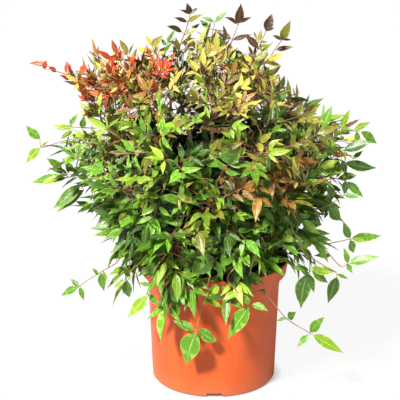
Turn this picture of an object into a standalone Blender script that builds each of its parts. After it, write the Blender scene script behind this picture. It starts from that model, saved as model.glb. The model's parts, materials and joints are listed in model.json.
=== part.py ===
"""Heavenly bamboo: a small evergreen shrub of many thin canes, growing in a round nursery pot.

Units are metres and +Z is up. The plant's front faces -Y and its right-hand side is +X. The origin is the
middle of the pot's flat underside. Bearings are degrees counter-clockwise from +X, seen from above.
"""

import math
import random
from dataclasses import dataclass, field

import bmesh
import bpy
from mathutils import Matrix, Vector
from mathutils.bvhtree import BVHTree

UP = Vector((0, 0, 1))
SEED = 11

# Driving dimensions of the pot
POT_HEIGHT = 0.190
RIM_RADIUS = 0.113
LIP_DEPTH = 0.022
LIP_SLOPE = 0.0035
LIP_THICKNESS = 0.0016
LIP_INSIDE = 0.005
LIP_EDGE = 0.0025
LIP_GROOVE = 0.009
LIP_GROOVE_WIDTH = 0.002
COLLAR_RADIUS = 0.1045
SHOULDER_RADIUS = 0.0995
SHOULDER_HEIGHT = 0.150
FOOT_RADIUS = 0.0925
FOOT_ROUNDING = 0.0015
WALL = 0.002
FOOT_RING = 0.0035
FLOOR_RISE = 0.008
PAD_RADIUS = 0.034
PAD_SLOPE = 0.003
POT_SIDES = 32

# Notches in the foot and drain holes in the raised ring of the floor
NOTCHES = 4
NOTCH_WIDTH = 0.028
NOTCH_TAPER = 0.8
NOTCH_HEIGHT = 0.0065
NOTCH_CUT = 0.016
NOTCH_BAND = 0.011
DRAINS = 8
DRAIN_RADIUS = 0.004
DRAIN_CIRCLE = 0.064
DRAIN_SIDES = 8

# Potting mix, which fills the pot and stays just clear of it
SOIL_TOP = 0.168
SOIL_GAP = 0.0008

# Round pieces are shaded smooth, and edges sharper than this stay crisp
SHARP_EDGE = math.radians(32)

# Gaps that keep separate pieces apart
TOUCH_GAP = 0.0003
SPACE_GAP = 0.0005
LIMB_CLEARANCE = 0.0007
TWIG_CLEARANCE = 0.0006
TWIG_SAMPLES = 14

# Canes and boughs: radii and how fast the foot of a cane flares
CANE_FOOT_RADIUS = 0.0040
CANE_TIP_RADIUS = 0.0025
CANE_FLARE = 0.0018
CANE_FLARE_SHARE = 0.06
CANE_STEPS = 7
BOUGH_FOOT_RADIUS = 0.0027
BOUGH_TIP_RADIUS = 0.0023
BOUGH_STEPS = 4
BOUGH_RISE = 0.35

# The crown's skin is a full ellipsoid. Masses lie evenly under it, and stalks reach for points spread over it
CROWN_MIDDLE = Vector((-0.004, 0, 0.322))
CROWN_REACH = Vector((0.226, 0.210, 0.222))
CROWN_FULLNESS = (2.2, 3.2)
CROWN_HEART = Vector((0, 0, 0.262))
MASS_DEPTH = 0.68
SKIN_POINTS = 165
SKIN_LEVELS = (0.97, -0.76)
SKIN_DEPTH = (0.70, 0.88)
GOLDEN_TURN = 137.5
STEM_LENGTH = 0.046
STEM_FOOT_RADIUS = 0.0023
STEM_TIP_RADIUS = 0.0019
STALK_TRIES = (1.0, 0.85, 0.7, 0.55)
STALK_LEAN = 0.9
STALK_FOOT_RADIUS = 0.0016
STALK_TIP_RADIUS = 0.0012
SPRIG_STEPS = 3

# Leaves stand in pairs along a stalk, and one at its tip
MOST_LEAVES = 16
FEWEST_LEAVES = 3
FEWEST_ON_SPRIG = 2
PAIR_STATIONS = (0.46, 0.78)
PAIR_OPENING = math.radians(58)
PAIR_SHARE = 0.88
LEAF_WIDTH = 0.52
LEAF_WIDEST = 0.42
LEAF_THICKNESS = 0.026
LEAF_THICKEST = 0.14
LEAF_FOLD = 0.05
LEAF_DROOP = 0.45
LEAF_LIFT = 0.6
PAIR_ROOT = 0.0003
TIP_ROOT = 0.0012
LEAF_NECK = 0.12
LEAF_TRIES = 16
LEAF_SWAY = 0.9
LEAF_SHRINK = 0.35
SPRIG_LEAVES = 5


@dataclass
class Tier:
    """A ring of foliage masses: their level under the crown's skin, from 1 at its top to -1 at its bottom."""

    name: str
    count: int
    first_bearing: float
    level: float
    leaf_length: float


TIERS = (
    Tier("top", 5, 198, 0.82, 0.068),
    Tier("upper", 6, 180, 0.42, 0.074),
    Tier("middle", 7, 270, -0.06, 0.072),
    Tier("low", 7, 244, -0.56, 0.070),
)

# Canes carry the two highest tiers, and boughs leave those canes for the two lower ones
CANE_FEET = {"top": 0.020, "upper": 0.044}
BOUGH_LEAVES_AT = {"middle": 0.232, "low": 0.196}
BOUGH_STAGGER = 0.010
SIDES = ("right", "back_right", "back", "back_left", "left", "front_left", "front", "front_right")

BARK_COLOUR = (0.23, 0.13, 0.075)
POT_COLOUR = (0.78, 0.17, 0.065)
SOIL_COLOUR = (0.035, 0.022, 0.015)
LEAF_COLOURS = {
    "top": (0.26, 0.20, 0.035),
    "upper": (0.27, 0.30, 0.03),
    "middle": (0.13, 0.30, 0.025),
    "low": (0.09, 0.27, 0.02),
}


@dataclass
class Sprig:
    """A long stalk that stands out of the crown's outline, given by its tip and the height of its arch."""

    mass: str
    tip: tuple
    arch: float
    stations: tuple
    leaf_length: float


SPRIGS = (
    Sprig("upper_left", (-0.236, -0.012, 0.470), 0.034, (0.42, 0.62, 0.82), 0.040),
    Sprig("top_left", (-0.140, 0.010, 0.492), 0.016, (0.50, 0.76), 0.050),
    Sprig("upper_left", (-0.244, -0.020, 0.366), 0.010, (0.50, 0.92), 0.044),
    Sprig("middle_left", (-0.222, -0.030, 0.300), 0.024, (0.46, 0.74), 0.050),
    Sprig("low_left", (-0.196, -0.052, 0.166), 0.040, (0.55, 0.92), 0.042),
    Sprig("low_front_left", (-0.034, -0.138, 0.120), 0.050, (0.70, 0.94), 0.048),
    Sprig("low_front_right", (0.034, -0.140, 0.146), 0.030, (0.70, 0.94), 0.046),
    Sprig("low_right", (0.146, -0.100, 0.106), 0.046, (0.60, 0.92), 0.044),
    Sprig("low_right", (0.204, -0.034, 0.226), 0.026, (0.55, 0.92), 0.048),
    Sprig("upper_right", (0.196, -0.010, 0.380), 0.020, (0.50, 0.78), 0.052),
    Sprig("middle_right", (0.204, 0.006, 0.312), 0.014, (0.50, 0.78), 0.052),
    Sprig("top_left", (-0.036, -0.010, 0.530), 0.004, (0.52, 0.78), 0.046),
    Sprig("top_right", (0.036, -0.004, 0.530), 0.004, (0.60, 0.92), 0.046),
    Sprig("top_right", (0.096, 0.004, 0.512), 0.010, (0.60, 0.92), 0.046),
)

SPRIG_BEARERS = {sprig.mass for sprig in SPRIGS}


@dataclass
class Limb:
    """A cane or bough: the line it follows and its radius at each point of that line."""

    name: str
    line: list
    radii: list


@dataclass
class Stalk:
    """A leaf stalk: its foot on the stem, the point it bends to, its tip and where its leaf pairs stand."""

    foot: Vector
    bend: Vector
    tip: Vector
    steps: int
    stations: tuple
    leaf_length: float

    def point(self, share):
        left = 1 - share
        return self.foot * left**2 + self.bend * 2 * share * left + self.tip * share**2

    def heading(self, share):
        way = (self.bend - self.foot) * (1 - share) + (self.tip - self.bend) * share
        return way.normalized()


@dataclass
class Mass:
    """A mass of foliage: the place and heading of its stem, and the middle of the space that it keeps to."""

    name: str
    tier: Tier
    bearing: float
    seat: Vector
    heading: Vector
    middle: Vector
    targets: list = field(default_factory=list)


class Space:
    """What a mass may fill: the points nearest its own middle, clear of the limbs and of its own leaves."""

    def __init__(self, mass, masses, limbs):
        self.middle = mass.middle
        self.walls = []
        for other in masses:
            if other is not mass:
                apart = other.middle - mass.middle
                self.walls.append((apart.normalized(), apart.length / 2 - SPACE_GAP))
        self.limbs = limbs
        self.points, self.faces = [], []
        self.obstacles = [limbs]

    def holds(self, points, radius=0.0):
        """True if the points lie inside the walls towards every other mass."""
        for way, limit in self.walls:
            if any((point - self.middle).dot(way) > limit - radius for point in points):
                return False
        return True

    def twig_is_free(self, points, radius):
        if not self.holds(points, radius):
            return False
        reach = radius + TWIG_CLEARANCE
        return not any(tree.find_nearest(point, reach)[0] for tree in self.obstacles for point in points)

    def leaf_is_free(self, corners, faces):
        if not self.holds(corners):
            return False
        leaf = BVHTree.FromPolygons(corners, faces)
        return not any(leaf.overlap(tree) for tree in self.obstacles)

    def take(self, corners, faces):
        first = len(self.points)
        self.points += corners
        self.faces += [tuple(first + corner for corner in face) for face in faces]
        self.obstacles = [self.limbs, BVHTree.FromPolygons(self.points, self.faces)]


def outward(bearing):
    """The level direction along a bearing."""
    around = math.radians(bearing)
    return Vector((math.cos(around), math.sin(around), 0))


def side_name(bearing):
    """The plain name of the side nearest a bearing."""
    return SIDES[round(bearing / 45) % len(SIDES)]


def between(low, high, share):
    return low + (high - low) * share


def crown_point(bearing, level, depth):
    """A point of the crown: depth is 0 at its middle and 1 on its skin."""
    power = CROWN_FULLNESS[level < 0]
    across = (1 - abs(level) ** power) ** (1 / power)
    return CROWN_MIDDLE + (outward(bearing) * across + UP * level) * CROWN_REACH * depth


def clear_scene():
    for thing in list(bpy.data.objects):
        bpy.data.objects.remove(thing)


def new_collection(name):
    made = bpy.data.collections.new(name)
    bpy.context.scene.collection.children.link(made)
    return made


def material(name, colour, roughness, metallic=0.0):
    made = bpy.data.materials.new(name)
    made.use_nodes = True
    shader = made.node_tree.nodes["Principled BSDF"]
    shader.inputs["Base Color"].default_value = (*colour, 1)
    shader.inputs["Roughness"].default_value = roughness
    shader.inputs["Metallic"].default_value = metallic
    return made


def new_object(name, mesh, collection, finish=None):
    made = bpy.data.objects.new(name, mesh)
    collection.objects.link(made)
    if finish:
        mesh.materials.clear()
        mesh.materials.append(finish)
    return made


def mesh_of(thing):
    """The object's mesh as it stands now, in world space."""
    bpy.context.view_layer.update()
    graph = bpy.context.evaluated_depsgraph_get()
    mesh = bpy.data.meshes.new_from_object(thing.evaluated_get(graph))
    mesh.transform(thing.matrix_world)
    return mesh


def weld_caps(mesh):
    """Joins the loose end caps of a tube to its sides."""
    tube = bmesh.new()
    tube.from_mesh(mesh)
    bmesh.ops.remove_doubles(tube, verts=tube.verts, dist=0.000001)
    tube.to_mesh(mesh)
    tube.free()


def turned_solid(name, profile, sides, collection, finish):
    """A solid of revolution from (radius, height) points that run down its outer side."""
    outline = bmesh.new()
    corners = [outline.verts.new((radius, 0, height)) for radius, height in profile]
    for first, second in zip(corners, corners[1:]):
        outline.edges.new((first, second))
    mesh = bpy.data.meshes.new(name)
    outline.to_mesh(mesh)
    outline.free()
    made = new_object(name, mesh, collection, finish)
    screw = made.modifiers.new("turn", "SCREW")
    screw.steps = screw.render_steps = sides
    screw.use_merge_vertices = True
    screw.merge_threshold = 0.00005
    return made


def wall_line():
    """The outer side of the pot's wall, from under the lip down to the foot, as (radius, height).

    A band above the notches keeps the faces that they cut small.
    """
    shoulder, foot = (SHOULDER_RADIUS, SHOULDER_HEIGHT), (FOOT_RADIUS + FOOT_ROUNDING, FOOT_ROUNDING * 2)
    share = (NOTCH_BAND - foot[1]) / (shoulder[1] - foot[1])
    band = (between(foot[0], shoulder[0], share), NOTCH_BAND)
    return [(COLLAR_RADIUS, POT_HEIGHT - LIP_DEPTH), shoulder, band, foot]


def pot_profile():
    """Half of the pot's section: up the inside, over the lip, down the outside and back under the floor."""
    collar, shoulder, band, foot = wall_line()
    floor_top = FLOOR_RISE + WALL
    lip_top = POT_HEIGHT - LIP_EDGE
    groove_top = POT_HEIGHT - LIP_GROOVE
    lip_foot = RIM_RADIUS - LIP_SLOPE
    groove_side = RIM_RADIUS - LIP_INSIDE + WALL / 2
    inside = [
        (0, WALL),
        (PAD_RADIUS - PAD_SLOPE / 2, WALL),
        (PAD_RADIUS + PAD_SLOPE / 2, floor_top),
        (FOOT_RADIUS - WALL, floor_top),
        (shoulder[0] - WALL, shoulder[1]),
        (collar[0] - WALL, collar[1]),
        (RIM_RADIUS - LIP_INSIDE, lip_top),
    ]
    lip = [
        (RIM_RADIUS - LIP_EDGE, POT_HEIGHT),
        (RIM_RADIUS, lip_top),
        (lip_foot, collar[1]),
        (lip_foot - LIP_THICKNESS, collar[1]),
        (groove_side, groove_top),
        (groove_side - LIP_GROOVE_WIDTH, groove_top),
    ]
    underside = [
        (FOOT_RADIUS, 0),
        (FOOT_RADIUS - FOOT_RING, 0),
        (FOOT_RADIUS - FOOT_RING - FOOT_ROUNDING, FLOOR_RISE),
        (PAD_RADIUS + PAD_SLOPE * 1.5, FLOOR_RISE),
        (PAD_RADIUS + PAD_SLOPE / 2, 0),
        (0, 0),
    ]
    return inside + lip + [collar, shoulder, band, foot] + underside


def notch_cutter(index, collection):
    """A block, narrower at the top, that cuts one notch out of the foot."""
    block = bmesh.new()
    bmesh.ops.create_cube(block, size=1.0)
    for corner in block.verts:
        taper = NOTCH_TAPER if corner.co.z > 0 else 1.0
        corner.co.x *= NOTCH_CUT
        corner.co.y *= NOTCH_WIDTH * taper
        corner.co.z *= 2 * NOTCH_HEIGHT
    mesh = bpy.data.meshes.new("notch_cutter")
    block.to_mesh(mesh)
    block.free()
    cutter = new_object(f"notch_cutter_{index}", mesh, collection)
    bearing = -90 + index * 360 / NOTCHES
    cutter.rotation_euler.z = math.radians(bearing)
    cutter.location = outward(bearing) * (FOOT_RADIUS - FOOT_ROUNDING)


def drain_cutter(index, collection):
    """A short rod that cuts one drain hole through the raised ring of the floor."""
    rod = bmesh.new()
    bmesh.ops.create_cone(
        rod,
        cap_ends=True,
        segments=DRAIN_SIDES,
        radius1=DRAIN_RADIUS,
        radius2=DRAIN_RADIUS,
        depth=6 * WALL,
    )
    mesh = bpy.data.meshes.new("drain_cutter")
    rod.to_mesh(mesh)
    rod.free()
    cutter = new_object(f"drain_cutter_{index}", mesh, collection)
    bearing = (index + 0.5) * 360 / DRAINS
    cutter.location = outward(bearing) * DRAIN_CIRCLE + UP * (FLOOR_RISE + WALL / 2)


def cut_foot_and_floor(pot, cutters):
    """Cuts the notches out of the pot's foot and the drain holes through its floor."""
    for index in range(NOTCHES):
        notch_cutter(index, cutters)
    for index in range(DRAINS):
        drain_cutter(index, cutters)
    for cutter in cutters.objects:
        cutter.hide_render = True
        cutter.display_type = "WIRE"
    cut = pot.modifiers.new("notches_and_drains", "BOOLEAN")
    cut.operation = "DIFFERENCE"
    cut.operand_type = "COLLECTION"
    cut.collection = cutters


def shade_round(thing):
    """Settles a round piece's modifiers and shades it smooth, with its real edges left sharp."""
    thing.data = mesh_of(thing)
    thing.modifiers.clear()
    thing.data.shade_smooth()
    thing.data.set_sharp_from_angle(angle=SHARP_EDGE)


def build_soil(parts, finish):
    """Potting mix that fills the pot to a flat top below the rim."""
    collar, shoulder, _, _ = wall_line()
    slack = WALL + SOIL_GAP
    floor_top = FLOOR_RISE + WALL + SOIL_GAP
    profile = [
        (0, SOIL_TOP),
        (collar[0] - slack, SOIL_TOP),
        (shoulder[0] - slack, shoulder[1]),
        (FOOT_RADIUS - slack, floor_top),
        (PAD_RADIUS - SOIL_GAP, floor_top),
        (PAD_RADIUS - SOIL_GAP - PAD_SLOPE, WALL + SOIL_GAP),
        (0, WALL + SOIL_GAP),
    ]
    return turned_solid("potting_mix", profile, POT_SIDES, parts, finish)


def smooth_line(start, start_heading, end, end_heading, steps):
    """Points of a cubic curve between two places and headings. Its first and last lengths run straight."""
    pull = (end - start).length * 0.38
    first, second = start + start_heading * pull, end - end_heading * pull
    line = []
    for step in range(steps + 1):
        share = step / steps
        left = 1 - share
        line.append(
            start * left**3
            + first * 3 * left**2 * share
            + second * 3 * left * share**2
            + end * share**3
        )
    line[1] = start + start_heading * (line[1] - start).length
    line[-2] = end - end_heading * (end - line[-2]).length
    return line


def three_sided_section():
    """The closed triangle of unit radius, one corner up, that three-sided stalks are drawn along."""
    curve = bpy.data.curves.new("stalk_section", "CURVE")
    curve.dimensions = "2D"
    curve.fill_mode = "NONE"
    spline = curve.splines.new("POLY")
    spline.points.add(2)
    for index, point in enumerate(spline.points):
        turn = math.pi / 2 - index * math.tau / 3
        point.co = (math.cos(turn), math.sin(turn), 0, 1)
    spline.use_cyclic_u = True
    return bpy.data.objects.new("stalk_section", curve)


def tapering_tube(name, line, radii, collection, section=None):
    """A tube along a line with its own radius at each point: round, or with the corners of a section."""
    curve = bpy.data.curves.new(name, "CURVE")
    curve.dimensions = "3D"
    curve.use_fill_caps = True
    if section:
        curve.twist_mode = "Z_UP"
        curve.bevel_mode = "OBJECT"
        curve.bevel_object = section
    else:
        curve.bevel_depth = 1.0
        curve.bevel_resolution = 1
    spline = curve.splines.new("POLY")
    spline.points.add(len(line) - 1)
    for point, place, radius in zip(spline.points, line, radii):
        point.co = (*place, 1)
        point.radius = radius
    drawn = new_object(name + "_line", curve, collection)
    mesh = mesh_of(drawn)
    weld_caps(mesh)
    bpy.data.objects.remove(drawn)
    return new_object(name, mesh, collection)


def cane_radius(share):
    flare = CANE_FLARE * math.exp(-share / CANE_FLARE_SHARE)
    return between(CANE_FOOT_RADIUS, CANE_TIP_RADIUS, share) + flare


def make_cane(mass):
    """A cane from a flat foot on the potting mix up to the seat of its mass."""
    foot = outward(mass.bearing) * CANE_FEET[mass.tier.name] + UP * (SOIL_TOP + TOUCH_GAP)
    line = smooth_line(foot, UP, mass.seat, mass.heading, CANE_STEPS)
    radii = [cane_radius(step / CANE_STEPS) for step in range(CANE_STEPS + 1)]
    return Limb("cane_" + mass.name, line, radii)


def nearest_cane(mass, canes):
    """The cane that stands nearest to the bearing of a mass."""
    return min(canes, key=lambda found: abs((found[0] - mass.bearing + 180) % 360 - 180))[1]


def make_bough(mass, cane, leaves_at):
    """A bough that leaves a cane at a height, just clear of its bark, and runs to the seat of its mass."""
    upper = next(step for step, point in enumerate(cane.line) if point.z > leaves_at)
    below, above = cane.line[upper - 1], cane.line[upper]
    axis_point = below.lerp(above, (leaves_at - below.z) / (above.z - below.z))
    cane_way = (above - below).normalized()
    heading = (mass.seat - axis_point).normalized()
    heading = (heading + UP * BOUGH_RISE).normalized()
    slant = heading.cross(cane_way).length
    overhang = BOUGH_FOOT_RADIUS * abs(heading.dot(cane_way))
    clear = (max(cane.radii[upper - 1], cane.radii[upper]) + TOUCH_GAP + overhang) / slant
    line = smooth_line(axis_point + heading * clear, heading, mass.seat, mass.heading, BOUGH_STEPS)
    radii = [
        between(BOUGH_FOOT_RADIUS, BOUGH_TIP_RADIUS, step / BOUGH_STEPS)
        for step in range(BOUGH_STEPS + 1)
    ]
    return Limb("bough_" + mass.name, line, radii)


def plan_masses():
    """Every mass of foliage, tier by tier, with its share of the points that stalks reach for."""
    masses = []
    for tier in TIERS:
        for index in range(tier.count):
            bearing = (tier.first_bearing + index * 360 / tier.count) % 360
            middle = crown_point(bearing, tier.level, MASS_DEPTH)
            heading = (middle - CROWN_HEART).normalized()
            name = f"{tier.name}_{side_name(bearing)}"
            seat = middle - heading * STEM_LENGTH
            masses.append(Mass(name, tier, bearing, seat, heading, middle))
    draw = random.Random(SEED)
    for index in range(SKIN_POINTS):
        level = between(*SKIN_LEVELS, (index + 0.5) / SKIN_POINTS)
        bearing = index * GOLDEN_TURN + draw.uniform(-6, 6)
        target = crown_point(bearing, level, draw.uniform(*SKIN_DEPTH))
        nearest = min(masses, key=lambda mass: (mass.middle - target).length)
        nearest.targets.append(target)
    for mass in masses:
        draw.shuffle(mass.targets)
    return masses


def plan_limbs(masses):
    """The canes first, and then the boughs that leave them."""
    canes = [(mass.bearing, make_cane(mass)) for mass in masses if mass.tier.name in CANE_FEET]
    outer = [found for found in canes if "upper" in found[1].name]
    limbs = [cane for bearing, cane in canes]
    for index, mass in enumerate(masses):
        if mass.tier.name in BOUGH_LEAVES_AT:
            leaves_at = BOUGH_LEAVES_AT[mass.tier.name] + BOUGH_STAGGER * (index % 2)
            limbs.append(make_bough(mass, nearest_cane(mass, outer), leaves_at))
    return limbs


def stem_point(mass, share):
    return mass.seat + mass.heading * between(TOUCH_GAP, STEM_LENGTH, share)


def stem_share(mass, target):
    """How far along its stem a stalk leaves it, so that it leans forwards on its way to a target."""
    along = (target - mass.seat).dot(mass.heading)
    aside = (target - mass.seat - mass.heading * along).length
    return min(0.96, max(0.15, (along - aside * STALK_LEAN) / STEM_LENGTH))


def try_stalks(mass):
    """What a mass may grow: its sprigs, and then a stalk towards each of its targets.

    Each stalk comes in several lengths, longest first.
    """
    for sprig in SPRIGS:
        if sprig.mass == mass.name:
            foot, tip = stem_point(mass, 0.9), Vector(sprig.tip)
            bend = (foot + tip) / 2 + UP * sprig.arch
            yield [Stalk(foot, bend, tip, SPRIG_STEPS, sprig.stations, sprig.leaf_length)]
    for target in mass.targets:
        foot = stem_point(mass, stem_share(mass, target))
        stalks = []
        for size in STALK_TRIES:
            tip = foot.lerp(target, size)
            stalks.append(Stalk(foot, (foot + tip) / 2, tip, 1, PAIR_STATIONS, mass.tier.leaf_length))
        yield stalks


def leaf_places(stalk):
    """(base, way, facing, length, root) of every leaf of a stalk: the one at its tip and then its pairs."""
    end_way = stalk.heading(1)
    across = end_way.cross(UP).normalized()
    outwards = Vector((stalk.tip.x, stalk.tip.y, 0)).normalized()
    facing = (outwards + UP * LEAF_LIFT).normalized()
    drooping = (end_way - UP * LEAF_DROOP).normalized()
    yield stalk.tip, drooping, facing, stalk.leaf_length, TIP_ROOT
    for station in stalk.stations:
        way = stalk.heading(station)
        for hand in (-1, 1):
            opened = way * math.cos(PAIR_OPENING) + across * hand * math.sin(PAIR_OPENING)
            opened = (opened - UP * LEAF_DROOP).normalized()
            yield stalk.point(station), opened, facing, stalk.leaf_length * PAIR_SHARE, PAIR_ROOT


def leaf_frame(base, way, facing, length):
    """The matrix that stands a leaf of unit length on base, along way, with its upper side towards facing."""
    across = facing.cross(way).normalized()
    normal = way.cross(across).normalized()
    turned = Matrix((across, normal, way)).transposed().to_4x4()
    return Matrix.Translation(base) @ turned @ Matrix.Scale(length, 4)


def leaf_blank(root=0.0):
    """A leaf of unit length along +Z: a six-faced blade, folded on its midrib and keeled below it.

    It is a double pyramid on the triangle of root, tip and keel. Its two points are the leaf's sides.
    """
    blade = bmesh.new()
    bmesh.ops.create_uvsphere(blade, u_segments=3, v_segments=2, radius=1.0)
    rim = [corner for corner in blade.verts if abs(corner.co.z) < 0.5]
    sides = [corner for corner in blade.verts if abs(corner.co.z) > 0.5]
    for corner in sides:
        corner.co = (corner.co.z * LEAF_WIDTH / 2, LEAF_FOLD, LEAF_WIDEST)
    places = ((0, 0, root), (0, 0, 1), (0, -LEAF_THICKNESS, LEAF_THICKEST))
    for corner, place in zip(rim, places):
        corner.co = place
    if blade.calc_volume(signed=True) < 0:
        bmesh.ops.reverse_faces(blade, faces=blade.faces)
    mesh = bpy.data.meshes.new("leaf_blank")
    blade.to_mesh(mesh)
    blade.free()
    return mesh


def corners_and_faces(mesh):
    return [point.co.copy() for point in mesh.vertices], [tuple(face.vertices) for face in mesh.polygons]


def obstacle_tree(things):
    """One search tree of everything that foliage keeps clear of, swollen by the clearance."""
    corners, faces = [], []
    for thing in things:
        mesh = mesh_of(thing)
        first = len(corners)
        corners += [point.co + point.normal * LIMB_CLEARANCE for point in mesh.vertices]
        faces += [tuple(first + corner for corner in face.vertices) for face in mesh.polygons]
    return BVHTree.FromPolygons(corners, faces)


def any_way(draw):
    return Vector((draw.uniform(-1, 1), draw.uniform(-1, 1), draw.uniform(-1, 1)))


def fit_stalk(stalk, space, blade, draw):
    """The frames and shapes of a stalk's leaves, a little turned and smaller where they have to be.

    Both are empty if there is no room for the stalk, or for enough of its leaves.
    """
    samples = [stalk.point(step / TWIG_SAMPLES) for step in range(2, TWIG_SAMPLES + 1)]
    if not space.twig_is_free(samples, STALK_FOOT_RADIUS):
        return [], []
    corners, faces = blade
    frames, shapes = [], []
    for base, way, facing, length, root in leaf_places(stalk):
        for attempt in range(LEAF_TRIES):
            strayed = attempt / LEAF_TRIES
            turned = (way + any_way(draw) * LEAF_SWAY * strayed).normalized()
            upper = (facing + any_way(draw) * LEAF_SWAY * strayed).normalized()
            frame = leaf_frame(base - turned * root, turned, upper, length * (1 - LEAF_SHRINK * strayed))
            placed = [frame @ corner for corner in corners]
            if space.leaf_is_free(placed, faces):
                frames.append(frame)
                shapes.append((placed, faces))
                break
    enough = FEWEST_LEAVES if stalk.steps == 1 else FEWEST_ON_SPRIG
    return (frames, shapes) if len(frames) >= enough else ([], [])


def draw_stalk(stalk, collection, section):
    """A tapering three-sided twig along a stalk."""
    shares = [step / stalk.steps for step in range(stalk.steps + 1)]
    line = [stalk.point(share) for share in shares]
    radii = [between(STALK_FOOT_RADIUS, STALK_TIP_RADIUS, share) for share in shares]
    return tapering_tube("stalk", line, radii, collection, section)


def keep_largest_body(mesh):
    """Drops loose scraps and the walls of sealed hollows. True if what is left is closed."""
    body = bmesh.new()
    body.from_mesh(mesh)
    unseen, bodies = set(body.verts), []
    while unseen:
        front = [unseen.pop()]
        found = set(front)
        while front:
            for edge in front.pop().link_edges:
                for other in edge.verts:
                    if other in unseen:
                        unseen.remove(other)
                        found.add(other)
                        front.append(other)
        bodies.append(found)
    bodies.sort(key=len)
    loose = [corner for found in bodies[:-1] for corner in found]
    bmesh.ops.delete(body, geom=loose, context="VERTS")
    closed = all(len(edge.link_faces) == 2 for edge in body.edges)
    body.to_mesh(mesh)
    body.free()
    return closed


def fuse(stem, grown):
    """The stem joined with everything in the collection by one union, as a single closed mesh."""
    for solver in ("EXACT", "MANIFOLD"):
        union = stem.modifiers.new("union", "BOOLEAN")
        union.operation = "UNION"
        union.operand_type = "COLLECTION"
        union.collection = grown
        union.solver = solver
        mesh = mesh_of(stem)
        stem.modifiers.remove(union)
        if keep_largest_body(mesh):
            return mesh
        print(stem.name, "did not close with", solver)
    return mesh


def build_foliage(mass, space, section, parts, finish):
    """One mass: its stem, its stalks and their leaves, joined into one node."""
    grown = new_collection("grown_" + mass.name)
    blade, whole_leaf = corners_and_faces(leaf_blank(LEAF_NECK)), leaf_blank()
    stem_line = [stem_point(mass, 0), stem_point(mass, 1)]
    stem = tapering_tube("foliage_" + mass.name, stem_line, [STEM_FOOT_RADIUS, STEM_TIP_RADIUS], parts)
    leaves = 0
    draw = random.Random(mass.name)
    for stalks in try_stalks(mass):
        if leaves >= MOST_LEAVES + SPRIG_LEAVES * (mass.name in SPRIG_BEARERS):
            break
        for stalk in stalks:
            frames, shapes = fit_stalk(stalk, space, blade, draw)
            if frames:
                twig = draw_stalk(stalk, grown, section)
                for shape in shapes + [corners_and_faces(twig.data)]:
                    space.take(*shape)
                for frame in frames:
                    new_object("leaf", whole_leaf, grown).matrix_world = frame
                leaves += len(frames)
                break
    stem.data = fuse(stem, grown)
    stem.data.materials.clear()
    stem.data.materials.append(finish)
    for thing in list(grown.objects):
        bpy.data.objects.remove(thing)
    bpy.data.collections.remove(grown)
    print(mass.name, leaves, "leaves,", len(stem.data.polygons), "faces")
    return leaves


def main():
    clear_scene()
    parts = new_collection("heavenly_bamboo")
    cutters = new_collection("cutters")
    bark = material("bark", BARK_COLOUR, 0.8)
    plastic = material("pot_plastic", POT_COLOUR, 0.42)
    pot = turned_solid("pot", pot_profile(), POT_SIDES, parts, plastic)
    soil = build_soil(parts, material("potting_mix", SOIL_COLOUR, 0.95))
    built = [pot, soil]
    masses = plan_masses()
    for limb in plan_limbs(masses):
        made = tapering_tube(limb.name, limb.line, limb.radii, parts)
        made.data.materials.append(bark)
        built.append(made)
    limbs = obstacle_tree(built)
    section = three_sided_section()
    leaves = 0
    for mass in masses:
        finish = material("leaves_" + mass.name, LEAF_COLOURS[mass.tier.name], 0.35)
        leaves += build_foliage(mass, Space(mass, masses, limbs), section, parts, finish)
    bpy.data.objects.remove(section)
    cut_foot_and_floor(pot, cutters)
    for round_piece in built:
        shade_round(round_piece)
    print(len(parts.objects), "parts,", leaves, "leaves")


main()
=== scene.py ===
# %% [markdown]
# This lesson dresses a heavenly bamboo, a small evergreen shrub of thin canes that is sold in a round
# orange pot. The plant's solids were made beforehand: they give its size, its limbs and the space of each
# mass of leaves. Here each of them gets its real surface. Lengths are in metres, Z is up, and the front
# faces -Y.

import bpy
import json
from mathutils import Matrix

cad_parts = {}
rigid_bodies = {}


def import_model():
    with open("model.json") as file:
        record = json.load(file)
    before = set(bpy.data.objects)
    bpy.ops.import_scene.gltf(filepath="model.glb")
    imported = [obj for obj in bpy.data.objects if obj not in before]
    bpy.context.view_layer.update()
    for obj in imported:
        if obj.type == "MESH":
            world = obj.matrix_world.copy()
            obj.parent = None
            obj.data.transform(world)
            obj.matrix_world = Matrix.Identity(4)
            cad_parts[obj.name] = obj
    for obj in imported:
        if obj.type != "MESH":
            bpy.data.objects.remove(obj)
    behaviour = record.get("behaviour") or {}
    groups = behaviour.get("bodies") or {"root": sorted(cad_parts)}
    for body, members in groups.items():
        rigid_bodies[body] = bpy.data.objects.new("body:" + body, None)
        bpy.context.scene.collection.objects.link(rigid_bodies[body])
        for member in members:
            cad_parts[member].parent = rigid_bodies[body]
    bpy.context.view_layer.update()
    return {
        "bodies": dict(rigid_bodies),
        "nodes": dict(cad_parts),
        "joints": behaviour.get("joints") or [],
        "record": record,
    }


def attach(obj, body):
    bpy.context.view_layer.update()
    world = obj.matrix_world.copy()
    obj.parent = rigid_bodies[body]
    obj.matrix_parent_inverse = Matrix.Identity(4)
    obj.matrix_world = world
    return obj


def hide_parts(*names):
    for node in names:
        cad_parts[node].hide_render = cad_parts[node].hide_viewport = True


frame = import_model()

import json
import math
import random

import bpy
import numpy as np
from mathutils import Euler, Matrix, Vector, noise

UP = Vector((0, 0, 1))

# %% [markdown]
# The photograph was taken from a little above the rim, from nearly two metres away. A long lens from that
# place gives the pot's rim and foot the same flat ellipses that they have in the picture. The light that
# made the leaf shadows on the pot came from high on the left in front, so a broad sun stands there. The
# surround is dim, which keeps the inside of the plant dark, but the camera sees it white.

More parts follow.
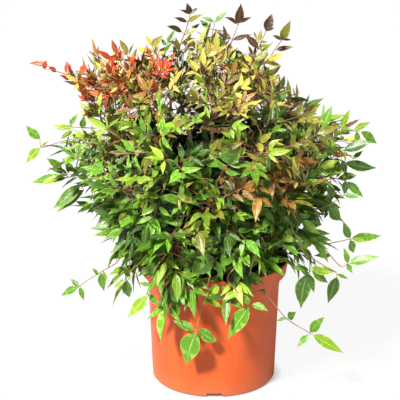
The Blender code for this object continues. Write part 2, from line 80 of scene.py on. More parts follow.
# %% Camera
FRAME_PIXELS, FOCAL_PIXELS = 400, 1250
CAMERA_PLACE, CAMERA_DIP = Vector((-0.021, -1.79, 0.812)), math.radians(16.6)
camera_data = bpy.data.cameras.new("camera")
camera_data.lens = camera_data.sensor_width * FOCAL_PIXELS / FRAME_PIXELS
camera = bpy.data.objects.new("camera", camera_data)
camera.location = CAMERA_PLACE
camera.rotation_euler = (math.pi / 2 - CAMERA_DIP, 0, 0)
bpy.context.scene.collection.objects.link(camera)
bpy.context.scene.camera = camera
print("camera at", tuple(round(value, 3) for value in camera.location))


# %% From the camera's frame to places
def seen_at(column, row, depth):
    """The place seen at a column and row of the picture, on the upright plane at a depth."""
    across, over = (column - FRAME_PIXELS / 2) / FOCAL_PIXELS, (FRAME_PIXELS / 2 - row) / FOCAL_PIXELS
    dip, level = math.sin(CAMERA_DIP), math.cos(CAMERA_DIP)
    ray = Vector((across, level + over * dip, over * level - dip))
    return CAMERA_PLACE + ray * ((depth - CAMERA_PLACE.y) / ray.y)


RIM_FRONT_SEEN, RIM_FRONT = (214.7, 281.9), -0.113
print("the rim's front lies at", seen_at(*RIM_FRONT_SEEN, RIM_FRONT))


# %% Lamps
LAMP_AIM = Vector((0, 0, 0.3))


def add_lamp(kind, name, place, power, colour, **settings):
    """A lamp at a place, turned towards the middle of the plant."""
    lamp = bpy.data.lights.new(name, kind)
    lamp.energy, lamp.color = power, colour
    for key, value in settings.items():
        setattr(lamp, key, value)
    holder = bpy.data.objects.new(name, lamp)
    holder.location = place
    holder.rotation_euler = (LAMP_AIM - holder.location).to_track_quat("-Z", "Y").to_euler()
    bpy.context.scene.collection.objects.link(holder)


add_lamp("SUN", "key_sun", (-1.0, -1.5, 2.1), 7.7, (1.0, 0.985, 0.94), angle=math.radians(8))
add_lamp("AREA", "fill_lamp", (1.9, -1.6, 1.0), 5, (1, 1, 1), size=1.4)
add_lamp("AREA", "rim_lamp", (-0.9, 1.7, 1.5), 16, (1.0, 0.99, 0.95), size=1.0)
bpy.context.scene.view_settings.view_transform = "Standard"
bpy.context.scene.view_settings.look = "None"
print("a sun and two lamps")

# %% [markdown]
# Every finish below is made of nodes. A few small helpers keep the wiring short. One adds a node and sets
# or wires its inputs, one makes a new material and hands back its shader, and the others are the patterns,
# ramps and bumps that most finishes share.

# %% Node helpers
def wire(finish, source, target):
    finish.node_tree.links.new(source, target)


def add_node(finish, kind, *sources, **values):
    """A node of a kind. Sources go to its first inputs, values to its settings or the inputs they name."""
    node = finish.node_tree.nodes.new("ShaderNode" + kind)
    feeds = list(zip(node.inputs, sources))
    for key, value in values.items():
        if hasattr(node, key):
            setattr(node, key, value)
        else:
            feeds.append((node.inputs[key.replace("_", " ")], value))
    for socket, value in feeds:
        if isinstance(value, bpy.types.NodeSocket):
            wire(finish, value, socket)
        else:
            socket.default_value = value
    return node


def new_finish(name, roughness):
    """A material and its Principled shader."""
    made = bpy.data.materials.new(name)
    made.use_nodes = True
    shader = made.node_tree.nodes["Principled BSDF"]
    shader.inputs["Roughness"].default_value = roughness
    return made, shader


def colour_ramp(finish, source, stops):
    """A ramp from the source's value through (position, colour) stops."""
    ramp = add_node(finish, "ValToRGB", source)
    band = ramp.color_ramp
    while len(band.elements) < len(stops):
        band.elements.new(0.5)
    for element, (position, colour) in zip(band.elements, stops):
        element.position = position
        element.color = (*colour, 1)
    return ramp.outputs["Color"]


def noise_pattern(finish, scale, stretch=(1, 1, 1), detail=4.0, rough=0.55):
    """Noise on the object's own coordinates, drawn out by a stretch."""
    place = add_node(finish, "TexCoord").outputs["Object"]
    drawn_out = add_node(finish, "Mapping", Vector=place, Scale=stretch).outputs["Vector"]
    pattern = add_node(finish, "TexNoise", Vector=drawn_out, Scale=scale, Detail=detail, Roughness=rough)
    return pattern.outputs["Fac"]


def add_bump(finish, shader, height, strength, distance, **under):
    """Turns a height into a bump on the shader, over an earlier bump if there is one."""
    bump = add_node(finish, "Bump", Height=height, Strength=strength, Distance=distance, **under)
    wire(finish, bump.outputs["Normal"], shader.inputs["Normal"])
    return bump.outputs["Normal"]


def speckled_finish(name, roughness, scale, stops, **pattern):
    """A finish whose colour runs through the stops by one noise, which it hands back for the bump."""
    made, shader = new_finish(name, roughness)
    speckle = noise_pattern(made, scale, **pattern)
    wire(made, colour_ramp(made, speckle, stops), shader.inputs["Base Color"])
    return made, shader, speckle


# %% Surroundings
SURROUND_LIGHT = 0.21
world = bpy.data.worlds.new("studio")
world.use_nodes = True
seen = add_node(world, "LightPath").outputs["Is Camera Ray"]
brightness = add_node(world, "MapRange", seen, To_Min=SURROUND_LIGHT, To_Max=1.0).outputs["Result"]
surround = world.node_tree.nodes["Background"]
surround.inputs["Color"].default_value = (1, 1, 1, 1)
wire(world, brightness, surround.inputs["Strength"])
bpy.context.scene.world = world
print("a surround that is white to the camera and", SURROUND_LIGHT, "to all other rays")


# %% Mesh helpers
def deselect():
    """Leaves edit mode, with nothing selected."""
    if bpy.context.object and bpy.context.object.mode != "OBJECT":
        bpy.ops.object.mode_set(mode="OBJECT")
    bpy.ops.object.select_all(action="DESELECT")


def only(thing):
    """Leaves one object active and selected, out of edit mode."""
    deselect()
    bpy.context.view_layer.objects.active = thing
    thing.select_set(True)


def start_with(add_primitive, name, **where):
    """A primitive with a name, added with nothing else selected."""
    deselect()
    add_primitive(**where)
    thing = bpy.context.object
    thing.name = thing.data.name = name
    return thing


def grow_rings(name, profile, sides):
    """A turned solid: a disc at the first (radius, height), extruded ring by ring along the rest."""
    radius, height = profile[0]
    disc = {"vertices": sides, "radius": radius, "fill_type": "NGON", "location": (0, 0, height)}
    thing = start_with(bpy.ops.mesh.primitive_circle_add, name, **disc)
    bpy.ops.object.transform_apply(location=True, rotation=True, scale=True)
    bpy.ops.object.mode_set(mode="EDIT")
    bpy.ops.mesh.select_all(action="SELECT")
    for (before, low), (after, high) in zip(profile, profile[1:]):
        bpy.ops.mesh.extrude_region_move(TRANSFORM_OT_translate={"value": (0, 0, high - low)})
        bpy.ops.transform.resize(value=(after / before, after / before, 1), center_override=(0, 0, high))
    bpy.ops.mesh.select_all(action="SELECT")
    bpy.ops.mesh.normals_make_consistent(inside=False)
    bpy.ops.object.mode_set(mode="OBJECT")
    return thing


def apply_all(thing):
    """Applies every modifier of a piece."""
    only(thing)
    for modifier in list(thing.modifiers):
        bpy.ops.object.modifier_apply(modifier=modifier.name)


def dress(thing, finish, nodes):
    """Gives a finished piece its material, hangs it on the root body and hides the solids that it stands
    for.
    """
    if finish:
        thing.data.materials.clear()
        thing.data.materials.append(finish)
    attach(thing, "root")
    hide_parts(*nodes)
    thing.data.calc_loop_triangles()
    print(thing.name, len(thing.data.loop_triangles), "triangles")


# %% [markdown]
# The pot is a thin shell of orange plastic with a lip round its mouth, a short flared collar that lets
# pots stack, and a foot ring with four notches that let water out. A turned shape like this can be a
# profile with a Screw modifier, but growing it ring by ring from a disc keeps each step visible: extrude,
# then scale. The sharp rings are then bevelled, because moulded plastic has no hard edges.

# %% The pot's sizes
POT_HEIGHT, RIM_RADIUS, LIP_DEPTH, LIP_SLOPE = 0.190, 0.113, 0.022, 0.0035
COLLAR_RADIUS, SHOULDER_RADIUS, SHOULDER_HEIGHT = 0.1045, 0.0995, 0.150
FOOT_RADIUS, FOOT_ROUNDING, WALL, FLOOR_RISE, PAD_RADIUS = 0.0925, 0.0015, 0.0016, 0.008, 0.034
POT_SIDES, EDGE_ROUNDING, SHARP_FROM, SMOOTH_UP_TO = 144, 0.0004, math.radians(35), math.radians(28)
pot_profile = [
    (PAD_RADIUS + 0.0015, 0),
    (PAD_RADIUS + 0.0045, FLOOR_RISE),
    (FOOT_RADIUS - 0.0050, FLOOR_RISE),
    (FOOT_RADIUS - 0.0035, 0),
    (FOOT_RADIUS - 0.0008, 0),
    (FOOT_RADIUS + FOOT_ROUNDING, FOOT_ROUNDING * 2),
    (FOOT_RADIUS + 0.0019, 0.011),
    (SHOULDER_RADIUS - 0.0004, SHOULDER_HEIGHT - 0.004),
    (SHOULDER_RADIUS + 0.0006, SHOULDER_HEIGHT + 0.003),
    (COLLAR_RADIUS, POT_HEIGHT - LIP_DEPTH),
    (COLLAR_RADIUS + 0.0006, POT_HEIGHT - 0.0100),
    (RIM_RADIUS - 0.0055, POT_HEIGHT - 0.0090),
    (RIM_RADIUS - 0.0038, POT_HEIGHT - 0.0096),
    (RIM_RADIUS - LIP_SLOPE - 0.0014, POT_HEIGHT - LIP_DEPTH + 0.0006),
    (RIM_RADIUS - LIP_SLOPE - 0.0004, POT_HEIGHT - LIP_DEPTH),
    (RIM_RADIUS - LIP_SLOPE, POT_HEIGHT - LIP_DEPTH + 0.0008),
    (RIM_RADIUS - 0.0006, POT_HEIGHT - 0.0040),
    (RIM_RADIUS, POT_HEIGHT - 0.0022),
    (RIM_RADIUS - 0.0008, POT_HEIGHT - 0.0006),
    (RIM_RADIUS - 0.0024, POT_HEIGHT),
    (RIM_RADIUS - 0.0042, POT_HEIGHT - 0.0008),
    (RIM_RADIUS - 0.0056, POT_HEIGHT - 0.0030),
    (COLLAR_RADIUS - WALL, POT_HEIGHT - LIP_DEPTH),
    (SHOULDER_RADIUS - WALL, SHOULDER_HEIGHT),
    (FOOT_RADIUS - WALL, FLOOR_RISE + WALL + 0.002),
    (FOOT_RADIUS - WALL - 0.003, FLOOR_RISE + WALL),
    (PAD_RADIUS + 0.0015, FLOOR_RISE + WALL),
    (PAD_RADIUS - 0.0015, WALL),
]
print(len(pot_profile), "rings in the pot's profile")

# %% Grow the pot
pot = grow_rings("pot_shell", pot_profile, POT_SIDES)
bpy.ops.object.mode_set(mode="EDIT")
bpy.ops.mesh.select_mode(type="EDGE")
bpy.ops.mesh.select_all(action="DESELECT")
bpy.ops.mesh.edges_select_sharp(sharpness=SHARP_FROM)
bpy.ops.mesh.bevel(offset=EDGE_ROUNDING, segments=2, affect="EDGES")
bpy.ops.object.mode_set(mode="OBJECT")
print("pot faces:", len(pot.data.polygons))


# %% Cut the foot's notches and the drain holes
def cut_away(target, cutter):
    """Cuts one piece out of another, and removes the cutter."""
    cut = target.modifiers.new("cut", "BOOLEAN")
    cut.operation = "DIFFERENCE"
    cut.solver = "EXACT"
    cut.object = cutter
    apply_all(target)
    bpy.data.objects.remove(cutter)


def round_pot(radius, bearing, height):
    return (math.cos(bearing) * radius, math.sin(bearing) * radius, height)


NOTCH_RING, NOTCH_SIZE, NOTCH_DRAFT = 0.091, (0.016, 0.028, 0.013), 0.8
DRAIN_RING, DRAIN_RADIUS, DRAIN_DEPTH = 0.064, 0.004, 0.012
for quarter in range(4):
    bearing = math.radians(-90 + quarter * 90)
    block = {"size": 1, "location": round_pot(NOTCH_RING, bearing, 0), "rotation": (0, 0, bearing)}
    notch = start_with(bpy.ops.mesh.primitive_cube_add, "notch", scale=NOTCH_SIZE, **block)
    bpy.ops.object.mode_set(mode="EDIT")
    bpy.ops.mesh.select_mode(type="FACE")
    bpy.ops.mesh.select_all(action="DESELECT")
    bpy.ops.object.mode_set(mode="OBJECT")
    for face in notch.data.polygons:
        face.select = face.normal.z > 0.9
    bpy.ops.object.mode_set(mode="EDIT")
    bpy.ops.transform.resize(value=(NOTCH_DRAFT, NOTCH_DRAFT, 1))
    bpy.ops.object.mode_set(mode="OBJECT")
    cut_away(pot, notch)
for eighth in range(8):
    place = round_pot(DRAIN_RING, (eighth + 0.5) * math.tau / 8, FLOOR_RISE + WALL / 2)
    rod = {"vertices": 24, "radius": DRAIN_RADIUS, "depth": DRAIN_DEPTH, "location": place}
    cut_away(pot, start_with(bpy.ops.mesh.primitive_cylinder_add, "drain", **rod))
only(pot)
bpy.ops.object.shade_smooth_by_angle(angle=SMOOTH_UP_TO)
print("pot faces after the cuts:", len(pot.data.polygons))

# %% [markdown]
# The plastic is a warm orange with a satin shine. Thin moulded plastic is never quite even: it has faint
# upright flow marks, a fine grain, and a film of dust from the nursery bench that gathers near the foot.
# Each of those is one noise, and their mix drives the colour, the roughness and the bump.

# %% Orange plastic
DUST_HEIGHT, DUST_MOST, DUST_COLOUR = 0.030, 0.55, (0.36, 0.17, 0.10, 1)
plastic, shader = new_finish("orange_plastic", 0.46)
shader.inputs["Specular IOR Level"].default_value = 0.3
flow_marks = noise_pattern(plastic, 7.0, (3, 3, 0.9), 5)
oranges = [(0.30, (0.53, 0.078, 0.013)), (0.52, (0.57, 0.089, 0.016)), (0.72, (0.61, 0.100, 0.020))]
shade = colour_ramp(plastic, flow_marks, oranges)
height = add_node(plastic, "SeparateXYZ", add_node(plastic, "TexCoord").outputs["Object"]).outputs["Z"]
low_down = add_node(plastic, "MapRange", height, From_Min=DUST_HEIGHT, From_Max=0.0, To_Max=DUST_MOST)
specks = noise_pattern(plastic, 160.0, detail=6)
dust = add_node(plastic, "Math", low_down.outputs["Result"], specks, operation="MULTIPLY")
dusty = add_node(plastic, "Mix", data_type="RGBA", Factor=dust.outputs["Value"], A=shade, B=DUST_COLOUR)
wire(plastic, dusty.outputs["Result"], shader.inputs["Base Color"])
gloss = add_node(plastic, "MapRange", noise_pattern(plastic, 30.0), To_Min=0.40, To_Max=0.56)
wire(plastic, gloss.outputs["Result"], shader.inputs["Roughness"])
grain = add_bump(plastic, shader, noise_pattern(plastic, 420.0, detail=3), 0.25, 0.0003)
add_bump(plastic, shader, flow_marks, 0.35, 0.004, Normal=grain)
dress(pot, plastic, ["pot"])

# %% [markdown]
# The potting mix is dark peat. Its side and bottom are hidden by the pot, and its top is grown as many
# narrow rings, so that a noise can raise and lower it. Crumbs of peat and bark then lie on it: one small
# lump is made by squashing an icosphere's points, and its copies are joined into one piece with arrays.

# %% Potting mix
SOIL_TOP, SOIL_RINGS, SOIL_SIDES = 0.168, 46, 128
soil_radius, soil_level = COLLAR_RADIUS - 0.0028, SOIL_TOP - 0.001
soil_profile = [(PAD_RADIUS - 0.005, 0.0032), (PAD_RADIUS - 0.001, 0.0118), (FOOT_RADIUS - 0.0032, 0.0122)]
soil_profile += [(SHOULDER_RADIUS - 0.0030, SHOULDER_HEIGHT), (soil_radius, soil_level)]
soil_profile += [(soil_radius * (1 - ring / SOIL_RINGS), soil_level) for ring in range(1, SOIL_RINGS)]


def swell(place):
    """The low rise or hollow of the potting mix at a place."""
    return noise.noise(place * 16) * 0.003


soil = grow_rings("peat", soil_profile, SOIL_SIDES)
for point in soil.data.vertices:
    edge = min(1, (soil_radius - point.co.to_2d().length) / 0.006)
    if point.co.z > soil_level - 0.001 and edge > 0:
        point.co.z += edge * (noise.fractal(point.co * 60, 0.8, 2.1, 5) * 0.0028 + swell(point.co))
only(soil)
bpy.ops.object.shade_smooth()
peats = [(0.3, (0.010, 0.006, 0.004)), (0.55, (0.032, 0.019, 0.012)), (0.75, (0.075, 0.048, 0.030))]
peat, shader, peat_noise = speckled_finish("peat", 0.95, 240.0, peats, detail=8, rough=0.7)
add_bump(peat, shader, peat_noise, 0.9, 0.002)
dress(soil, peat, ["potting_mix"])


# %% Joined pieces from arrays
def joined_mesh(name, corners, faces, uvs=None, shades=None, slots=None):
    """One mesh from corners, rows of three or four corner numbers, and what each corner carries."""
    mesh = bpy.data.meshes.new(name)
    rows = [np.asarray(block, np.int32) for block in faces if len(block)]
    sizes = np.concatenate([np.full(len(block), block.shape[1]) for block in rows])
    loops = np.concatenate([block.ravel() for block in rows])
    mesh.vertices.add(len(corners))
    mesh.vertices.foreach_set("co", np.asarray(corners, np.float32).ravel())
    mesh.loops.add(len(loops))
    mesh.loops.foreach_set("vertex_index", loops)
    mesh.polygons.add(len(sizes))
    mesh.polygons.foreach_set("loop_start", np.concatenate(([0], np.cumsum(sizes)[:-1])).astype(np.int32))
    if slots is not None:
        mesh.polygons.foreach_set("material_index", np.concatenate(slots).astype(np.int32))
    mesh.update(calc_edges=True)
    if uvs is not None:
        layer = mesh.uv_layers.new(name="leaf")
        layer.data.foreach_set("uv", np.asarray(uvs, np.float32)[loops].ravel())
    if shades is not None:
        own = mesh.attributes.new("shade", "FLOAT", "POINT")
        own.data.foreach_set("value", np.asarray(shades, np.float32))
    mesh.polygons.foreach_set("use_smooth", np.ones(len(sizes), bool))
    mesh.update()
    thing = bpy.data.objects.new(name, mesh)
    bpy.context.scene.collection.objects.link(thing)
    return thing


def copies_of(pattern, frames):
    """Corners and face rows of a pattern's copies. It is (corners, quads, triangles), its corners one set
    for all copies or one for each."""
    corners, quads, triangles = pattern
    frames = np.array([np.array(frame) for frame in frames])
    own = np.broadcast_to(corners, (len(frames), *corners.shape[-2:]))
    placed = np.einsum("nij,nvj->nvi", frames[:, :3, :3], own) + frames[:, None, :3, 3]
    first = np.arange(len(frames))[:, None, None] * own.shape[1]
    rows = [(first + block[None]).reshape(-1, block.shape[1]) for block in (quads, triangles) if len(block)]
    return placed.reshape(-1, 3), rows


# %% Crumbs on the potting mix
CRUMBS, CRUMB_SQUASH = 1500, (1.0, 0.62, 0.42)
crumb_pattern = start_with(bpy.ops.mesh.primitive_ico_sphere_add, "crumb_pattern", subdivisions=1, radius=1)
corners = np.array([point.co for point in crumb_pattern.data.vertices]) * CRUMB_SQUASH
triangles = np.array([face.vertices for face in crumb_pattern.data.polygons])
bpy.data.objects.remove(crumb_pattern)
draw = random.Random(5)
frames = []
for crumb in range(CRUMBS):
    radius, bearing = soil_radius * 0.98 * math.sqrt(draw.random()), draw.uniform(0, math.tau)
    size = 0.0008 + 0.0022 * draw.random() ** 3
    ground = Vector(round_pot(radius, bearing, SOIL_TOP))
    turn = Euler((draw.uniform(-0.5, 0.5), draw.uniform(-0.5, 0.5), draw.uniform(0, math.tau))).to_matrix()
    ground.z = soil_level + swell(ground) + size * 0.3
    frames.append(Matrix.Translation(ground) @ turn.to_4x4() @ Matrix.Scale(size, 4))
corners, rows = copies_of((corners, np.zeros((0, 4), int), triangles), frames)
crumbs = joined_mesh("peat_crumbs", corners, rows)
browns = [(0.35, (0.018, 0.011, 0.007)), (0.55, (0.06, 0.034, 0.02)), (0.7, (0.16, 0.10, 0.06))]
crumb_finish, shader, _ = speckled_finish("peat_crumb", 0.9, 95.0, browns, detail=3)
add_bump(crumb_finish, shader, noise_pattern(crumb_finish, 900.0), 0.6, 0.0006)
dress(crumbs, crumb_finish, ["potting_mix"])

# %% [markdown]
# The plant follows one rule, which the solids follow too. Masses of leaves lie in four tiers under the
# skin of a full round crown. Canes rise from the potting mix to the two upper tiers, and boughs leave the
# canes for the two lower ones. From each mass's stem, leaf stalks reach for points spread over the skin.
# The rule is written again here, so that the fine growth starts and ends where the solids do.
#
# A tier is the number of its masses, the first one's bearing, their level in the crown and a leaf's length.
# The crown's sides are rows of a height, and of the reach to the left and to the right at that height, as
# shares of the reach of an even crown.

# %% The crown's sizes
SEED, GOLDEN_TURN = 11, 137.5
CROWN_MIDDLE, CROWN_REACH = Vector((-0.004, 0, 0.322)), Vector((0.226, 0.210, 0.222))
CROWN_FULLNESS, CROWN_HEART, MASS_DEPTH = (2.2, 3.2), Vector((0, 0, 0.262)), 0.68
SKIN_POINTS, SKIN_LEVELS, SKIN_DEPTH = 210, (0.97, -0.76), (0.68, 0.88)
THIN_ABOVE, THIN_EVERY = 0.445, 7
STEM_LENGTH, STALK_LEAN = 0.046, 0.9
PAIR_STATIONS, PAIR_OPENING, PAIR_SHARE = (0.46, 0.78), math.radians(58), 0.88
LEAF_RISE, LEAF_LIFT, LEAF_GROWTH = (-0.55, 0.45), 0.6, (1.30, 0.66)
CROWN_SIDES = (
    (0.130, 0.62, 0.50),
    (0.180, 0.64, 0.62),
    (0.250, 0.68, 0.75),
    (0.285, 0.80, 0.82),
    (0.335, 1.00, 0.94),
    (0.385, 0.98, 0.94),
    (0.430, 0.92, 0.64),
    (0.480, 0.94, 0.60),
    (0.530, 0.90, 0.95),
)
SIDES = ("right", "back_right", "back", "back_left", "left", "front_left", "front", "front_right")
TIERS = {"top": (5, 198, 0.82, 0.068), "upper": (6, 180, 0.42, 0.074)}
TIERS.update({"middle": (7, 270, -0.06, 0.072), "low": (7, 244, -0.56, 0.070)})
CANE_FEET = {"top": 0.020, "upper": 0.044}
BOUGH_LEAVES_AT = {"middle": 0.232, "low": 0.196}


def outward(bearing):
    """The level direction along a bearing."""
    return Vector((math.cos(math.radians(bearing)), math.sin(math.radians(bearing)), 0))


def between(low, high, share):
    return low + (high - low) * share


def crown_point(bearing, level, depth):
    """A point of the crown: depth is 0 at its middle and 1 on its skin."""
    power = CROWN_FULLNESS[level < 0]
    across = (1 - abs(level) ** power) ** (1 / power)
    return CROWN_MIDDLE + (outward(bearing) * across + UP * level) * CROWN_REACH * depth


def share_of(value, low, high):
    """How far a value lies from low to high, held between 0 and 1."""
    return min(1, max(0, (value - low) / (high - low)))


def side_share(height, bearing):
    """The crown's own reach at a height and bearing, as a share of the even one."""
    below, above = CROWN_SIDES[0], CROWN_SIDES[-1]
    for low, high in zip(CROWN_SIDES, CROWN_SIDES[1:]):
        if low[0] <= height <= high[0]:
            below, above = low, high
    share = share_of(height, below[0], above[0])
    left, right = between(below[1], above[1], share), between(below[2], above[2], share)
    return between(left, right, (outward(bearing).x + 1) / 2)


def skin_point(bearing, level, depth):
    """A point of the crown as it has grown, wider or narrower than the even one."""
    place = crown_point(bearing, level, depth)
    share = side_share(place.z, bearing)
    return Vector((CROWN_MIDDLE.x + (place.x - CROWN_MIDDLE.x) * share, place.y * share, place.z))


def smooth_line(start, start_way, end, end_way, steps):
    """Points of a cubic curve between two places and headings."""
    pull = (end - start).length * 0.38
    first, second = start + start_way * pull, end - end_way * pull
    line = []
    for share in (step / steps for step in range(steps + 1)):
        left = 1 - share
        near = start * left**3 + first * 3 * left**2 * share
        line.append(near + second * 3 * left * share**2 + end * share**3)
    return line


# %% Place the masses
class Mass:
    """One mass of leaves: its place, its stem's foot and heading, and the points its stalks reach for."""

    def __init__(self, tier, index):
        count, first_bearing, level, self.leaf_length = TIERS[tier]
        self.tier = tier
        self.bearing = (first_bearing + index * 360 / count) % 360
        self.name = f"{tier}_{SIDES[round(self.bearing / 45) % 8]}"
        self.middle = crown_point(self.bearing, level, MASS_DEPTH)
        self.heading = (self.middle - CROWN_HEART).normalized()
        self.seat = self.middle - self.heading * STEM_LENGTH
        self.targets = []

    def stem_point(self, share):
        return self.seat + self.heading * STEM_LENGTH * share


def hand_out(target):
    """Gives a target to the nearest mass."""
    min(masses, key=lambda mass: (mass.middle - target).length).targets.append(target)


masses = [Mass(tier, index) for tier in TIERS for index in range(TIERS[tier][0])]
draw = random.Random(SEED)
for index in range(SKIN_POINTS):
    level = between(*SKIN_LEVELS, (index + 0.5) / SKIN_POINTS)
    bearing = index * GOLDEN_TURN + draw.uniform(-6, 6)
    target = skin_point(bearing, level, draw.uniform(*SKIN_DEPTH))
    if target.z > THIN_ABOVE and index % THIN_EVERY == 0:
        continue
    hand_out(target)
print(len(masses), "masses,", sum(len(mass.targets) for mass in masses), "targets")


# %% Canes and boughs
def cane_line(mass, steps):
    foot = outward(mass.bearing) * CANE_FEET[mass.tier] + UP * (SOIL_TOP + 0.0003)
    return smooth_line(foot, UP, mass.seat, mass.heading, steps)


def bough_line(mass, steps):
    """A bough leaves the nearest cane of the upper tier at its tier's height."""
    canes = [other for other in masses if other.tier == "upper"]
    cane = min(canes, key=lambda other: abs((other.bearing - mass.bearing + 180) % 360 - 180))
    height = BOUGH_LEAVES_AT[mass.tier] + 0.010 * (masses.index(mass) % 2)
    start = min(cane_line(cane, 200), key=lambda point: abs(point.z - height))
    heading = ((mass.seat - start).normalized() + UP * 0.35).normalized()
    return smooth_line(start, heading, mass.seat, mass.heading, steps)


# %% [markdown]
# A cane of this plant is no thicker than a pencil. Its bark is brown, furrowed along its length, and ringed
# where old leaves were attached. A curve with a round bevel gives the tube, with the rings in the points'
# radii. Made a mesh, it gets its furrows by moving each point in or out by a noise that is drawn out along
# the cane. The same tube, thinner and smoother, makes the boughs.

# %% Grow the canes and boughs
def bark_tube(name, line, thick, thin, flare, nodes_every):
    """A limb with bark relief along a line. The radius runs from thick to thin, and flares at the foot."""
    curve = bpy.data.curves.new(name, "CURVE")
    curve.dimensions = "3D"
    curve.bevel_depth = 1.0
    curve.bevel_resolution = 6
    curve.use_fill_caps = True
    spline = curve.splines.new("POLY")
    spline.points.add(len(line) - 1)
    walked, before = 0.0, line[0]
    for index, (point, place) in enumerate(zip(spline.points, line)):
        walked += (place - before).length
        before = place
        share = index / (len(line) - 1)
        ring = math.exp(-(((walked + 0.011) % nodes_every - nodes_every / 2) / 0.0016) ** 2)
        point.co = (*place, 1)
        point.radius = between(thick, thin, share) * (1 + 0.16 * ring) + flare * math.exp(-share / 0.06)
    limb = bpy.data.objects.new(name, curve)
    bpy.context.scene.collection.objects.link(limb)
    only(limb)
    bpy.ops.object.convert(target="MESH")
    bpy.ops.object.mode_set(mode="EDIT")
    bpy.ops.mesh.select_all(action="SELECT")
    bpy.ops.mesh.remove_doubles(threshold=0.00001)
    bpy.ops.mesh.normals_make_consistent(inside=False)
    bpy.ops.object.mode_set(mode="OBJECT")
    for point in limb.data.vertices:
        place = Vector((point.co.x * 900, point.co.y * 900, point.co.z * 110))
        point.co += point.normal * (noise.noise(place) * 0.00032 + noise.noise(point.co * 260) * 0.00014)
    bpy.ops.object.shade_smooth()
    return limb


barks = [(0.32, (0.055, 0.028, 0.018)), (0.50, (0.20, 0.105, 0.06)), (0.70, (0.42, 0.27, 0.16))]
bark, shader, furrows = speckled_finish("bark", 0.82, 70, barks, stretch=(9, 9, 0.8), detail=7, rough=0.65)
add_bump(bark, shader, furrows, 0.8, 0.0008)
CANE, BOUGH = (0.0040, 0.0025, 0.0018, 0.031), (0.0024, 0.0021, 0.0004, 0.023)
CANE_STEPS, BOUGH_STEPS = 110, 44
for mass in masses:
    if mass.tier in CANE_FEET:
        limb = bark_tube("limb_" + mass.name, cane_line(mass, CANE_STEPS), *CANE)
        dress(limb, bark, ["cane_" + mass.name])
    else:
        limb = bark_tube("limb_" + mass.name, bough_line(mass, BOUGH_STEPS), *BOUGH)
        dress(limb, bark, ["bough_" + mass.name])

# %% [markdown]
# A leaflet of heavenly bamboo is a narrow ellipse with a drawn-out tip, folded along its midrib and curved
# downwards. Each is an upper and an under side that share their edge, 28 faces in all. Eight differ in
# width, fold, curl and twist, and every leaflet of the crown is a turned and scaled copy of one of them.

# %% Eight leaflets
STATIONS = np.array([0.10, 0.23, 0.38, 0.55, 0.73, 0.89])
SHAPES = 8


def leaflet(draw):
    """Corners of a leaflet of unit length along +Y, upper side +Z: base, tip, left, right, upper, under."""
    width, fold = draw.uniform(0.27, 0.35), draw.uniform(0.25, 0.60)
    curl, twist, sway = draw.uniform(-0.04, 0.18), draw.uniform(-0.5, 0.5), draw.uniform(-0.06, 0.06)
    outline = STATIONS**0.95 * (1 - STATIONS) ** 1.5
    half = outline / outline.max() * width / 2
    middle = np.stack([sway * np.sin(STATIONS * math.pi), STATIONS, -curl * STATIONS**2], 1)
    turn = twist * STATIONS
    aside = np.stack([np.cos(turn), np.zeros_like(turn), np.sin(turn)], 1)
    raised = np.stack([-np.sin(turn), np.zeros_like(turn), np.cos(turn)], 1)
    ripple = 0.010 * np.sin(STATIONS * 14 + draw.uniform(0, 6))
    left = middle - aside * half[:, None] + raised * (half * fold + ripple)[:, None]
    right = middle + aside * half[:, None] + raised * (half * fold - ripple)[:, None]
    ends = np.array([(0, 0, 0), (0, 1, -curl * 1.05)])
    return np.concatenate([ends, left, right, middle + raised * 0.004, middle - raised * 0.004])


def leaflet_faces():
    """Rows of corner numbers: the upper side's quads and triangles, then the under side's."""
    count = len(STATIONS)
    left, right, upper, under = (2 + count * part + np.arange(count) for part in range(4))
    quads, triangles = [], []
    for middle, over in ((upper, True), (under, False)):
        for one, other in ((left, middle), (middle, right)):
            rows = np.stack([one[:-1], other[:-1], other[1:], one[1:]], 1)
            ends = np.array([[0, other[0], one[0]], [1, one[-1], other[-1]]])
            quads.append(rows if over else rows[:, ::-1])
            triangles.append(ends if over else ends[:, ::-1])
    return np.concatenate(quads), np.concatenate(triangles)


draw = random.Random(23)
leaflets = np.array([leaflet(draw) for shape in range(SHAPES)])
leaf_quads, leaf_triangles = leaflet_faces()
spread = np.concatenate([[0.5, 0.5], np.zeros(6), np.ones(6), np.full(12, 0.5)])
length = np.concatenate([[0, 1], np.tile(STATIONS, 4)])
leaf_uv = np.stack([spread, length], 1)
rim_corners = 2 + 2 * len(STATIONS)
print(leaflets.shape[1], "corners and", len(leaf_quads) + len(leaf_triangles), "faces in a leaflet")

# %% [markdown]
# Young leaves of this plant are red or bronze, then golden, and the old ones are deep green. Each tint has
# the solids' slot that it goes under, and a colour for the upper and for the under side. Tints are dealt
# out by spray: each spray takes one, by where in the crown it grows and by chance. The red flush lies high
# on the left, bronze at the top, and an orange patch on the right half way up.

